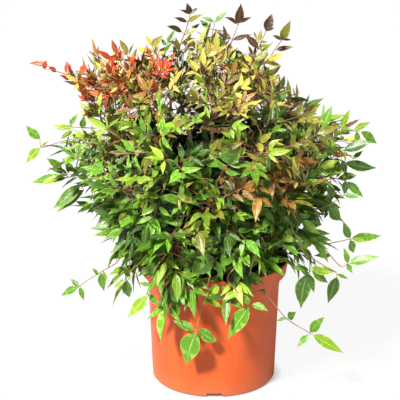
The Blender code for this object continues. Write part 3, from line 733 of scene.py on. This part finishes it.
# %% Deal out the tints
TINTS = {
    "scarlet": ("leaves_top", (0.47, 0.055, 0.016), (0.42, 0.12, 0.05)),
    "bronze": ("leaves_top", (0.066, 0.028, 0.008), (0.12, 0.065, 0.025)),
    "amber": ("leaves_upper", (0.26, 0.120, 0.018), (0.32, 0.19, 0.05)),
    "golden": ("leaves_upper", (0.52, 0.43, 0.070), (0.52, 0.47, 0.13)),
    "olive": ("leaves_upper", (0.210, 0.200, 0.020), (0.30, 0.30, 0.07)),
    "lime": ("leaves_middle", (0.200, 0.340, 0.018), (0.32, 0.42, 0.07)),
    "green": ("leaves_middle", (0.090, 0.225, 0.010), (0.18, 0.32, 0.05)),
    "deep": ("leaves_low", (0.038, 0.095, 0.007), (0.08, 0.16, 0.03)),
}
FLUSHES = (
    (Vector((-0.145, -0.03, 0.490)), 0.076, {"scarlet": 8, "amber": 3, "golden": 2, "olive": 1}),
    (Vector((-0.150, -0.03, 0.415)), 0.074, {"scarlet": 1, "amber": 2, "golden": 2, "olive": 3, "lime": 5}),
    (Vector((0.062, -0.190, 0.352)), 0.066, {"amber": 6, "olive": 3, "green": 1, "deep": 1}),
    (Vector((0.130, -0.120, 0.365)), 0.050, {"amber": 3, "olive": 4, "golden": 2, "green": 1}),
    (Vector((0.090, 0.17, 0.420)), 0.090, {"scarlet": 2, "amber": 3, "golden": 3, "olive": 2}),
    (Vector((-0.100, 0.18, 0.330)), 0.070, {"amber": 3, "olive": 2, "green": 2}),
)
BY_HEIGHT = (
    (0.500, {"bronze": 2, "golden": 4, "amber": 2, "olive": 3, "lime": 2, "green": 1}),
    (0.430, {"golden": 6, "bronze": 1, "lime": 4, "amber": 2, "olive": 3, "green": 1}),
    (0.370, {"golden": 1, "lime": 4, "olive": 3, "green": 5, "deep": 2, "bronze": 1}),
    (0.290, {"lime": 3, "green": 7, "deep": 3, "olive": 1}),
    (0.000, {"lime": 2, "green": 8, "deep": 3}),
)
# Near the crown's heart most sprays take the deep tint: partly the dark green of old inner leaves, partly
# painted shade.
SHADED_HEART_RADIUS, SHADED_HEART_DEEP_SHARE = 0.12, 0.65
print(len(TINTS), "tints,", len(FLUSHES), "flushes and", len(BY_HEIGHT), "bands of height")


def spray_tint(place, draw):
    """The tint of the spray at a place."""
    # Painted shade in part: sprays near the heart mostly take the deep tint.
    if (place - CROWN_MIDDLE).length < SHADED_HEART_RADIUS:
        return "deep" if draw.random() < SHADED_HEART_DEEP_SHARE else "green"
    for middle, radius, shares in FLUSHES:
        if (place - middle).length < radius * draw.uniform(0.5, 1.3):
            break
    else:
        bands = (shares for low, shares in BY_HEIGHT if place.z + draw.uniform(-0.03, 0.03) > low)
        shares = next(bands)
    return draw.choices(list(shares), list(shares.values()))[0]


# %% Grow the sprays
leaf_frames = {tint: [] for tint in TINTS}
leaf_shades = {tint: [] for tint in TINTS}
leaf_masses = {tint: set() for tint in TINTS}
stalk_lines, stem_lines = [], []
CLEARINGS = ((284, 264, -0.06, 0.046), (143, 274, -0.06, 0.032), (292, 284, -0.08, 0.03))
clearings = [(seen_at(column, row, depth), radius) for column, row, depth, radius in CLEARINGS]
FORK_AT, TIP_SIZES, PAIR_SIZES, PAIR_SPREAD = 0.41, (0.50, 0.60), (0.34, 0.48), (32, 74)
# The second and third of these darken sprays that grow deep inside the crown: painted shade.
SHADES, INNER_SHADE_TO_OUTER_LIGHT, INNER_SHADE_SPAN = (0.60, 1.40), (0.14, 1.10), (0.44, 0.90)


def put_leaflet(base, way, facing, length, tint, shade, breadth=1.0):
    """Stores the frame of a leaflet that grows from base along way, with its upper side towards facing."""
    way = way.normalized()
    across = way.cross(facing).normalized()
    normal = across.cross(way)
    frame = Matrix((across * breadth, way, normal)).transposed().to_4x4() * length
    frame.translation = base
    leaf_frames[tint].append(frame)
    leaf_shades[tint].append(shade)


def nudge(draw, size):
    return Vector((draw.uniform(-size, size), draw.uniform(-size, size), draw.uniform(-size, size)))


def inside_pot(place):
    return place.z < POT_HEIGHT + 0.004 and place.to_2d().length < RIM_RADIUS + 0.004


def curve_point(foot, bend, tip, share):
    """A point of the arc from foot to tip that is drawn towards bend."""
    return foot * (1 - share) ** 2 + bend * 2 * share * (1 - share) + tip * share**2


def grow_spray(mass, foot, way, facing, length, draw, pairs=2):
    """A fine twig with a leaflet at its tip and pairs of smaller ones below it: one whole leaf end."""
    way = (way + nudge(draw, 0.30)).normalized()
    facing = (facing + nudge(draw, 0.45)).normalized()
    if inside_pot(foot + way * length) or inside_pot(foot + way * length * 0.5):
        way = (way + outward(math.degrees(math.atan2(foot.y, foot.x))) * 0.8).normalized()
        if inside_pot(foot + way * length):
            return
    middle = foot + way * length * 0.6
    if any((middle - place).length < radius for place, radius in clearings):
        return
    skin = Vector([part / reach for part, reach in zip(middle - CROWN_MIDDLE, CROWN_REACH)]).length
    tint = spray_tint(middle, draw)
    # Painted shade: besides a random tone, the spray's colour is darkened the deeper inside the crown it
    # grows, down to 0.14 of it at the heart.
    shade = draw.uniform(*SHADES) * between(*INNER_SHADE_TO_OUTER_LIGHT, share_of(skin, *INNER_SHADE_SPAN))
    fork = foot + way * length * FORK_AT
    side = way.cross(facing).normalized()
    neck = fork + way * length * 0.05
    tip_way, tip_facing = way + nudge(draw, 0.15), facing + nudge(draw, 0.4)
    put_leaflet(neck, tip_way, tip_facing, length * draw.uniform(*TIP_SIZES), tint, shade)
    for pair in range(pairs):
        joint = foot.lerp(fork, 1 - pair * 0.58)
        for hand in (-1, 1):
            opening = math.radians(draw.uniform(*PAIR_SPREAD))
            aside = way * math.cos(opening) + side * hand * math.sin(opening) + nudge(draw, 0.22)
            size = length * draw.uniform(*PAIR_SIZES) * (1 - pair * 0.1)
            base, turned = joint + aside * length * 0.03, facing + nudge(draw, 0.55)
            put_leaflet(base, aside, turned, size, tint, shade * draw.uniform(0.85, 1.15))
    stalk_lines.append(([foot, (foot + fork) / 2 + nudge(draw, 0.0008), neck], (0.00055, 0.0004), 4))
    leaf_masses[tint].add("foliage_" + mass.name)


def grow_stalk(mass, foot, bend, tip, stations, length, draw, pairs=2):
    """A leaf stalk from foot to tip with a spray at its tip and pairs of sprays at its stations."""
    stalk_lines.append(([curve_point(foot, bend, tip, step / 6) for step in range(7)], (0.0010, 0.0006), 5))
    end_way = (tip - bend).normalized()
    side = end_way.cross(UP).normalized()
    outwards = Vector((tip.x, tip.y, 0)).normalized()
    facing = (outwards + UP * LEAF_LIFT).normalized()
    height = share_of(tip.z, 0.12, 0.50)
    rise = UP * between(*LEAF_RISE, height)
    length *= between(*LEAF_GROWTH, height)
    grow_spray(mass, tip, (end_way + rise).normalized(), facing, length, draw, pairs)
    for station in stations:
        place = curve_point(foot, bend, tip, station)
        way = ((bend - foot) * (1 - station) + (tip - bend) * station).normalized()
        for hand in (-1, 1):
            aside = way * math.cos(PAIR_OPENING) + side * hand * math.sin(PAIR_OPENING)
            way_out = (aside + rise).normalized()
            grow_spray(mass, place, way_out, facing, length * PAIR_SHARE, draw, draw.choice((1, pairs)))


# %% Stalks towards the crown's skin
FILL_POINTS, FILL_DEPTH, FILL_LEVELS = 170, (0.30, 0.68), (0.50, -0.72)
EXTRA_TIPS = (
    (108, 76, -0.05), (116, 88, 0.04), (126, 76, 0.02), (134, 90, -0.06), (142, 78, -0.02),
    (120, 98, -0.03), (103, 92, 0.0), (112, 84, -0.02), (100, 84, 0.03), (150, 72, 0.03), (158, 80, -0.05),
    (94, 88, -0.04), (96, 78, 0.02), (106, 68, 0.0), (122, 66, -0.04), (136, 66, 0.05), (88, 96, 0.0),
    (92, 108, -0.03), (182, 62, 0.03), (196, 56, 0.0), (210, 60, 0.05), (226, 56, -0.03), (238, 66, 0.03),
    (204, 70, -0.05),
)
draw = random.Random(SEED + 1)
for index in range(FILL_POINTS):
    level = between(*FILL_LEVELS, (index + 0.5) / FILL_POINTS)
    hand_out(skin_point(index * GOLDEN_TURN + 60, level, draw.uniform(*FILL_DEPTH)))
for tip in EXTRA_TIPS:
    hand_out(seen_at(*tip))
for mass in masses:
    stem_lines.append(([mass.stem_point(0), mass.stem_point(0.5), mass.stem_point(1)], (0.0021, 0.0014), 8))
    for target in mass.targets:
        along = (target - mass.seat).dot(mass.heading)
        aside = (target - mass.seat - mass.heading * along).length
        share = min(0.96, max(0.15, (along - aside * STALK_LEAN) / STEM_LENGTH))
        foot = mass.stem_point(share)
        bend = (foot + target) / 2 + UP * 0.006 + nudge(draw, 0.005)
        grow_stalk(mass, foot, bend, target, PAIR_STATIONS, mass.leaf_length, draw)
print(len(stalk_lines), "stalks so far")

# %% [markdown]
# Some thirty sprigs stand out of the round crown and give the plant its outline: upright bronze shoots at
# the top, a red spray at the upper left, thin sprigs at both sides, and a few that hang over the pot. Here
# chance is no help, so each is laid out one by one as the camera sees it. A sprig has the mass that it
# grows from, a depth that turns its columns and rows into places, its usual tint, and the bends of its
# stalk.
# Then comes each leaflet: its base, its tip, its breadth, and its own tint where that is another one.

# %% Sprigs beyond the outline
def run_through(points, steps=5):
    """A smooth line through all the points."""
    ends = [points[0] * 2 - points[1], *points, points[-1] * 2 - points[-2]]
    line = []
    for before, start, end, after in zip(ends, ends[1:], ends[2:], ends[3:]):
        for t in (step / steps for step in range(steps)):
            bend = (before * 2 - start * 5 + end * 4 - after) * t**2
            turn = (start * 3 - before - end * 3 + after) * t**3
            line.append((start * 2 + (end - before) * t + bend + turn) / 2)
    return [*line, points[-1]]


SPRIGS = (
    ("upper_left", -0.01, "scarlet", [(112, 84), (84, 74), (66, 74), (50, 69)],
     [(48, 65, 28, 62, 0.8), (44, 69, 46, 60, 1.2), (56, 72, 49, 66, 1.5), (68, 74, 66, 61, 1.3),
      (69, 80, 59, 75, 0.9), (83, 74, 84, 62, 1.1), (84, 75, 74, 70, 0.8, "amber"),
      (91, 87, 71, 81, 0.8, "amber"), (98, 86, 80, 77, 0.8)]),
    ("top_left", -0.02, "scarlet", [(128, 84), (118, 72), (110, 62)],
     [(112, 60, 96, 49, 0.9), (108, 67, 117, 51, 0.8), (120, 66, 103, 66, 1.0),
      (117, 74, 97, 72, 0.8, "amber"), (121, 62, 123, 49, 0.9)]),
    ("top_left", 0.0, "scarlet", [(150, 84), (142, 74), (132, 68)],
     [(131, 67, 135, 55, 1.3), (140, 72, 120, 76, 0.8), (149, 66, 141, 53, 0.8, "amber"),
      (150, 80, 141, 70, 0.9), (160, 74, 150, 62, 0.8, "amber")]),
    ("top_left", 0.01, "golden", [(164, 76), (158, 58), (152, 46)],
     [(152, 46, 145, 35, 1.1), (152, 46, 162, 35, 1.0), (155, 52, 141, 48, 0.9), (157, 55, 171, 45, 1.0),
      (150, 56, 134, 44, 0.8)]),
    ("top_back_left", 0.02, "bronze", [(176, 66), (180, 46), (187, 27), (190, 15)],
     [(190, 14, 187, 3, 1.5), (190, 14, 180, 9, 0.8), (190, 14, 198, 7, 0.8), (187, 22, 174, 17, 0.9),
      (187, 22, 203, 13, 0.8, "olive"), (182, 32, 166, 26, 0.9), (186, 35, 200, 22, 0.9, "olive"),
      (180, 46, 168, 40, 0.9, "amber"), (181, 44, 196, 37, 0.9, "golden")]),
    ("top_front", 0.02, "green", [(206, 62), (210, 44), (214, 26)],
     [(215, 22, 227, 11, 0.9), (214, 22, 201, 16, 0.8), (208, 28, 200, 19, 1.0), (208, 44, 203, 34, 1.1),
      (210, 42, 222, 36, 1.0)]),
    ("top_front", 0.0, "bronze", [(218, 76), (226, 58), (232, 41), (238, 25)],
     [(238, 24, 241, 3, 1.25), (237, 24, 225, 16, 0.8), (239, 23, 252, 17, 0.7), (231, 39, 213, 28, 1.0),
      (233, 40, 252, 33, 0.8), (226, 55, 205, 47, 0.9, "amber"), (227, 57, 247, 56, 0.9, "green"),
      (222, 50, 220, 36, 0.8, "green")]),
    ("top_right", 0.0, "olive", [(252, 68), (258, 49), (266, 31)],
     [(266, 31, 272, 13, 1.2, "bronze"), (266, 31, 275, 27, 0.7), (258, 48, 245, 34, 1.1, "bronze"),
      (259, 47, 271, 44, 0.7), (255, 60, 268, 49, 1.0), (254, 62, 240, 54, 0.9, "golden")]),
    ("top_right", 0.03, "olive", [(262, 72), (272, 54), (281, 41)],
     [(281, 40, 291, 20, 1.2), (281, 40, 272, 35, 1.0, "bronze"), (282, 40, 292, 39, 0.6),
      (266, 61, 284, 53, 0.9, "golden"), (266, 62, 282, 66, 0.9, "golden"),
      (276, 50, 294, 46, 0.7, "amber")]),
    ("top_right", 0.06, "bronze", [(266, 92), (276, 96), (284, 98)],
     [(285, 98, 302, 105, 0.9, "olive"), (276, 96, 287, 89, 0.8), (270, 100, 262, 82, 0.9),
      (262, 80, 278, 82, 0.7, "olive"), (284, 100, 281, 112, 1.1)]),
    ("upper_left", -0.03, "green", [(106, 140), (72, 139), (44, 147), (40, 144)],
     [(40, 139, 26, 125, 1.2), (40, 148, 25, 163, 1.0, "lime"), (42, 146, 48, 141, 0.8, "olive")]),
    ("upper_left", -0.02, "green", [(112, 128), (92, 128), (72, 127)],
     [(72, 127, 55, 129, 0.9, "lime"), (70, 126, 78, 112, 0.9), (92, 118, 83, 108, 0.9, "amber"),
      (100, 112, 82, 106, 0.9), (82, 128, 84, 116, 1.0)]),
    ("middle_left", -0.04, "green", [(110, 172), (88, 174), (68, 177)],
     [(64, 177, 30, 182, 0.75), (66, 178, 39, 185, 0.8, "lime"), (62, 171, 46, 158, 1.1),
      (74, 172, 62, 158, 1.0), (84, 168, 82, 154, 1.0)]),
    ("middle_left", -0.03, "green", [(112, 184), (96, 184), (82, 187)],
     [(80, 185, 52, 209, 0.9), (84, 190, 57, 213, 0.85, "lime"), (98, 184, 74, 182, 0.8),
      (95, 203, 80, 212, 0.8, "deep"), (96, 201, 91, 215, 0.8, "deep")]),
    ("low_left", -0.06, "green", [(120, 258), (104, 270), (88, 280), (78, 287)],
     [(78, 287, 60, 296, 1.0), (79, 287, 70, 278, 0.9), (80, 287, 84, 301, 1.0), (98, 275, 92, 268, 1.0),
      (101, 273, 104, 291, 1.1), (103, 271, 108, 281, 0.8, "lime")]),
    ("low_front_left", -0.09, "green", [(142, 262), (130, 272), (126, 280)],
     [(126, 280, 130, 300, 1.0), (125, 279, 113, 288, 1.0, "lime"), (130, 276, 122, 266, 0.9)]),
    ("low_front_left", -0.1, "green", [(156, 268), (150, 284), (147, 295)],
     [(147, 296, 127, 318, 1.1, "lime"), (148, 294, 161, 307, 1.0), (150, 286, 138, 282, 0.9)]),
    ("low_front_left", -0.125, "green", [(206, 270), (208, 284), (203, 304), (196, 329)],
     [(196, 332, 184, 366, 1.25), (194, 330, 173, 320, 1.1), (198, 329, 218, 342, 1.1),
      (206, 299, 224, 307, 0.9, "lime")]),
    ("low_front_right", -0.13, "green", [(228, 276), (238, 292), (249, 305)],
     [(249, 307, 228, 339, 1.15), (250, 304, 237, 294, 1.0), (252, 304, 268, 311, 1.0),
      (238, 292, 222, 300, 0.9, "lime")]),
    ("low_front_right", -0.1, "green", [(246, 296), (262, 291), (286, 318), (310, 333)],
     [(310, 332, 323, 317, 1.3), (309, 335, 297, 347, 1.1), (313, 335, 345, 353, 0.9, "lime"),
      (287, 318, 276, 321, 0.8), (288, 318, 295, 312, 1.6, "deep")]),
    ("upper_right", -0.02, "green", [(290, 140), (320, 133), (341, 131), (356, 131)],
     [(322, 128, 332, 105, 1.15), (321, 129, 309, 124, 0.9, "lime"), (323, 129, 334, 127, 0.7),
      (341, 127, 350, 109, 1.0, "lime"), (341, 128, 333, 121, 0.8), (341, 128, 351, 128, 0.8, "lime"),
      (354, 131, 371, 122, 0.9, "lime"), (361, 132, 379, 143, 1.0), (357, 132, 356, 144, 1.3)]),
    ("upper_right", -0.04, "deep", [(296, 156), (322, 152), (344, 150)],
     [(344, 150, 373, 140, 1.0), (345, 163, 377, 168, 0.8), (353, 159, 363, 150, 1.1, "green"),
      (338, 158, 331, 173, 1.0), (342, 160, 347, 176, 1.0), (330, 152, 345, 156, 0.9, "amber"),
      (325, 154, 316, 165, 0.9, "olive"), (334, 150, 330, 137, 1.0, "lime")]),
    ("middle_right", -0.05, "deep", [(300, 170), (326, 176), (346, 181)],
     [(347, 182, 365, 197, 1.0, "green"), (345, 181, 344, 195, 1.2), (331, 183, 331, 200, 1.0),
      (328, 180, 320, 188, 1.1, "green"), (345, 179, 357, 175, 0.8)]),
    ("middle_right", -0.06, "green", [(296, 214), (318, 209), (331, 204), (344, 195)],
     [(344, 195, 361, 197, 0.9), (329, 205, 342, 221, 1.4), (318, 209, 322, 196, 1.0, "deep")]),
    ("low_right", -0.05, "green", [(292, 236), (320, 244), (336, 242), (350, 239)],
     [(352, 238, 382, 236, 0.9), (350, 240, 355, 254, 1.2), (350, 238, 343, 221, 1.0),
      (352, 239, 368, 241, 0.8, "lime")]),
    ("low_right", -0.07, "green", [(292, 240), (320, 246), (340, 266), (348, 263)],
     [(349, 263, 379, 255, 1.0), (348, 263, 344, 248, 0.9), (347, 264, 353, 273, 1.2),
      (330, 256, 314, 255, 0.9, "lime")]),
    ("low_right", -0.09, "deep", [(300, 246), (318, 262), (336, 272)],
     [(337, 277, 328, 304, 1.15), (337, 274, 349, 279, 0.8, "green"), (334, 272, 316, 267, 0.9, "lime")]),
    ("low_right", -0.1, "deep", [(296, 244), (308, 256), (310, 270)],
     [(308, 274, 301, 309, 1.0), (310, 275, 314, 293, 1.1), (309, 270, 290, 268, 0.8, "green"),
      (312, 271, 328, 283, 1.0, "green"), (311, 268, 333, 273, 0.9, "lime")]),
)
SPRIG_BREADTH, SPRIG_SHADES, SPRIG_FACING = 1.25, (0.64, 1.08), Vector((0, -0.8, 0.6))
by_name = {mass.name: mass for mass in masses}
for name, depth, usual_tint, stalk, laid_out in SPRIGS:
    mass = by_name[name]
    line = run_through([mass.stem_point(0.9)] + [seen_at(column, row, depth) for column, row in stalk])
    stalk_lines.append((line, (0.0011, 0.0006), 5))
    for column, row, tip_column, tip_row, breadth, *own_tint in laid_out:
        tint = own_tint[0] if own_tint else usual_tint
        base = seen_at(column, row, depth + draw.uniform(-0.004, 0.004))
        tip = seen_at(tip_column, tip_row, depth + draw.uniform(-0.012, 0.012))
        joint = min(line, key=lambda point: (point - base).length)
        if (joint - base).length > 0.0006:
            stalk_lines.append(([joint, joint.lerp(base, 0.5) - UP * 0.0005, base], (0.0005, 0.0004), 4))
        facing, way = SPRIG_FACING + nudge(draw, 0.15), tip - base
        shade = draw.uniform(*SPRIG_SHADES)
        put_leaflet(base, way, facing, way.length, tint, shade, breadth * SPRIG_BREADTH)
        leaf_masses[tint].add("foliage_" + mass.name)
print(len(SPRIGS), "sprigs, and", len(stalk_lines), "stalks in all")

# %% [markdown]
# The leaf is waxy above and dull and paler below, so each tint has two finishes. The upper one reads the
# leaflet's own map: a pale midrib, faint side veins and a lighter margin, where midrib and margin are
# partly painted highlight, and a shade that differs at random from spray to spray and is painted shade
# deeper in the crown. The veins are a bump as well, because a waxy leaf shows them mostly by its
# highlights.

# %% Leaf finishes
MOTTLE = [(0.25, (0.76, 0.80, 0.74)), (0.5, (0.97, 0.97, 0.97)), (0.78, (1.18, 1.14, 1.1))]
PALE_RIB_AND_HIGHLIGHT_ENDS, PALE_MARGIN_AND_HIGHLIGHT_STARTS, VEIN_SLANT = 0.05, 0.43, math.radians(52)


def leaf_finish(tint, colour, under):
    """The upper or the under finish of a tint."""
    made, shader = new_finish(("under_" if under else "leaf_") + tint, 0.55 if under else 0.28)
    shader.inputs["Specular IOR Level"].default_value = 0.2 if under else 0.42
    across = add_node(made, "SeparateXYZ", add_node(made, "UVMap", uv_map="leaf").outputs["UV"])
    off_rib = add_node(made, "Math", across.outputs["X"], 0.5, operation="SUBTRACT")
    aside = add_node(made, "Math", off_rib.outputs["Value"], operation="ABSOLUTE").outputs["Value"]
    # The pale midrib and the lighter margin are partly the leaf's own paler rib and rim, and partly painted
    # highlight for the gloss along them.
    pale = tuple(min(1, channel * 1.6 + 0.10) for channel in colour)
    edge = tuple(min(1, channel * 1.5 + share) for channel, share in zip(colour, (0.06, 0.07, 0.012)))
    blade = colour_ramp(made, aside, [(0, pale), (PALE_RIB_AND_HIGHLIGHT_ENDS, colour), (PALE_MARGIN_AND_HIGHLIGHT_STARTS, colour), (0.5, edge)])
    # A noise mottle, darker towards the leaflet's base and lighter towards its tip.
    lengthwise = add_node(made, "Math", across.outputs["Y"], 0.35, -0.17, operation="MULTIPLY_ADD")
    mottle_along_leaf = add_node(made, "Math", noise_pattern(made, 260.0), lengthwise.outputs["Value"], operation="ADD")
    # The shade attribute holds a random tone per spray, and painted shade that darkens sprays deep inside
    # the crown.
    colour_now = blade
    for layer in (
        colour_ramp(made, mottle_along_leaf.outputs["Value"], MOTTLE),
        add_node(made, "Attribute", attribute_name="shade").outputs["Color"],
    ):
        mix = {"data_type": "RGBA", "blend_type": "MULTIPLY", "Factor": 1.0}
        colour_now = add_node(made, "Mix", **mix, A=colour_now, B=layer).outputs["Result"]
    wire(made, colour_now, shader.inputs["Base Color"])
    folded = add_node(made, "CombineXYZ", aside, across.outputs["Y"]).outputs["Vector"]
    slant = add_node(made, "Mapping", Vector=folded, Rotation=(0, 0, VEIN_SLANT), Scale=(1.4, 3.0, 1))
    veins = add_node(made, "TexWave", Vector=slant.outputs["Vector"], Scale=2.6, Distortion=1.5)
    add_bump(made, shader, veins.outputs["Fac"], 0.25, 0.0004)
    return made


# %% Join the leaflets, tint by tint
def crease_margins(mesh):
    """Marks the edges where a leaflet's two sides meet as sharp, so that each side is shaded by itself."""
    ends = np.zeros(len(mesh.edges) * 2, np.int32)
    mesh.edges.foreach_get("vertices", ends)
    on_margin = (ends.reshape(-1, 2) % leaflets.shape[1] < rim_corners).all(1)
    mesh.attributes.new("sharp_edge", "BOOLEAN", "EDGE").data.foreach_set("value", on_margin)


for tint, (slot, upper_colour, under_colour) in TINTS.items():
    count = len(leaf_frames[tint])
    shapes = leaflets[np.arange(count) % SHAPES]
    corners, rows = copies_of((shapes, leaf_quads, leaf_triangles), leaf_frames[tint])
    uvs, shades = np.tile(leaf_uv, (count, 1)), np.repeat(leaf_shades[tint], leaflets.shape[1])
    sides = [np.tile(np.repeat([0, 1], len(block) // 2), count) for block in (leaf_quads, leaf_triangles)]
    piece = joined_mesh("leaves_" + tint, corners, rows, uvs, shades, sides)
    crease_margins(piece.data)
    piece.data.materials.append(leaf_finish(tint, upper_colour, False))
    piece.data.materials.append(leaf_finish(tint, under_colour, True))
    dress(piece, None, sorted(leaf_masses[tint]))
print(sum(len(frames) for frames in leaf_frames.values()), "leaflets in", len(TINTS), "pieces")


# %% [markdown]
# The stalks are thin, round and jointed, tan and a little pink where the light falls on them. There are far
# too many to model one by one, so each is a tube of a few sides worked out with arrays, and all of them are
# joined into one piece.

# %% Join the stalks and stems
def tubes(lines):
    """Corners and face rows of closed tubes, from (points, (thick, thin), sides)."""
    corners, quads, triangles, first = [], [], [], 0
    for line, (thick, thin), sides in lines:
        count = len(line)
        turns = np.arange(sides) * math.tau / sides
        for index, place in enumerate(line):
            ahead = (line[min(index + 1, count - 1)] - line[max(index - 1, 0)]).normalized()
            aside = ahead.cross(Vector((0.31, 0.22, 0.92))).normalized()
            over = ahead.cross(aside)
            radius = between(thick, thin, index / (count - 1))
            ring = np.outer(np.cos(turns), aside) + np.outer(np.sin(turns), over)
            corners.append(np.array(place) + ring * radius)
        here = first + np.arange(sides)
        after = first + (np.arange(sides) + 1) % sides
        for index in range(count - 1):
            low, high = index * sides, (index + 1) * sides
            quads.append(np.stack([here + low, after + low, after + high, here + high], 1))
        last = first + (count - 1) * sides
        for side in range(1, sides - 1):
            triangles.append([first, first + side + 1, first + side])
            triangles.append([last, last + side, last + side + 1])
        first += count * sides
    return np.concatenate(corners), [np.concatenate(quads), np.array(triangles)]


tans = [(0.35, (0.27, 0.22, 0.06)), (0.5, (0.36, 0.17, 0.08)), (0.65, (0.30, 0.09, 0.06))]
stalk_finish, shader, _ = speckled_finish("stalk", 0.5, 22.0, tans, detail=3)
add_bump(stalk_finish, shader, noise_pattern(stalk_finish, 700.0, (1, 1, 0.2)), 0.4, 0.0003)
foliage = ["foliage_" + mass.name for mass in masses]
stalks = joined_mesh("leaf_stalks", *tubes(stalk_lines))
dress(stalks, stalk_finish, foliage)
stems = joined_mesh("leaf_stems", *tubes(stem_lines))
dress(stems, bark, foliage)

# %% [markdown]
# The plant stands on a plain pale floor. To the camera the floor is mostly a white glow, painted light that
# hides most of the floor's shadow, so that only a faint shadow shows, and the rays that light the plant see
# plain paint. Under the pot the glow fades, so that the pot's own shade on the floor shows there.

# %% Floor
FLOOR_SIZE, FLOOR_DROP, FLOOR_GLOW = 40, 0.0005, 0.92
GLOW_FROM, GLOW_FULL_AT = RIM_RADIUS * 0.7, RIM_RADIUS * 0.95
floor = start_with(bpy.ops.mesh.primitive_plane_add, "floor", size=FLOOR_SIZE)
paper, shader = new_finish("pale_floor", 0.9)
shader.inputs["Base Color"].default_value = (0.55, 0.55, 0.55, 1)
place = add_node(paper, "TexCoord").outputs["Object"]
from_middle = add_node(paper, "VectorMath", place, operation="LENGTH").outputs["Value"]
glow = {"From_Min": GLOW_FROM, "From_Max": GLOW_FULL_AT, "To_Max": FLOOR_GLOW}
# The glow fades out under the pot, so that the pot's own shade on the floor shows there.
beyond_pot = add_node(paper, "MapRange", from_middle, **glow).outputs["Result"]
seen = add_node(paper, "LightPath").outputs["Is Camera Ray"]
share = add_node(paper, "Math", seen, beyond_pot, operation="MULTIPLY").outputs["Value"]
# Painted light: a glow that only the camera sees, which paints most of the floor's shadow out.
painted_glow = add_node(paper, "Emission").outputs["Emission"]
blend = add_node(paper, "MixShader", share)
wire(paper, shader.outputs["BSDF"], blend.inputs[1])
wire(paper, painted_glow, blend.inputs[2])
wire(paper, blend.outputs["Shader"], paper.node_tree.nodes["Material Output"].inputs["Surface"])
floor.data.materials.append(paper)
floor.location.z = -FLOOR_DROP
print("a floor of", FLOOR_SIZE, "metres")
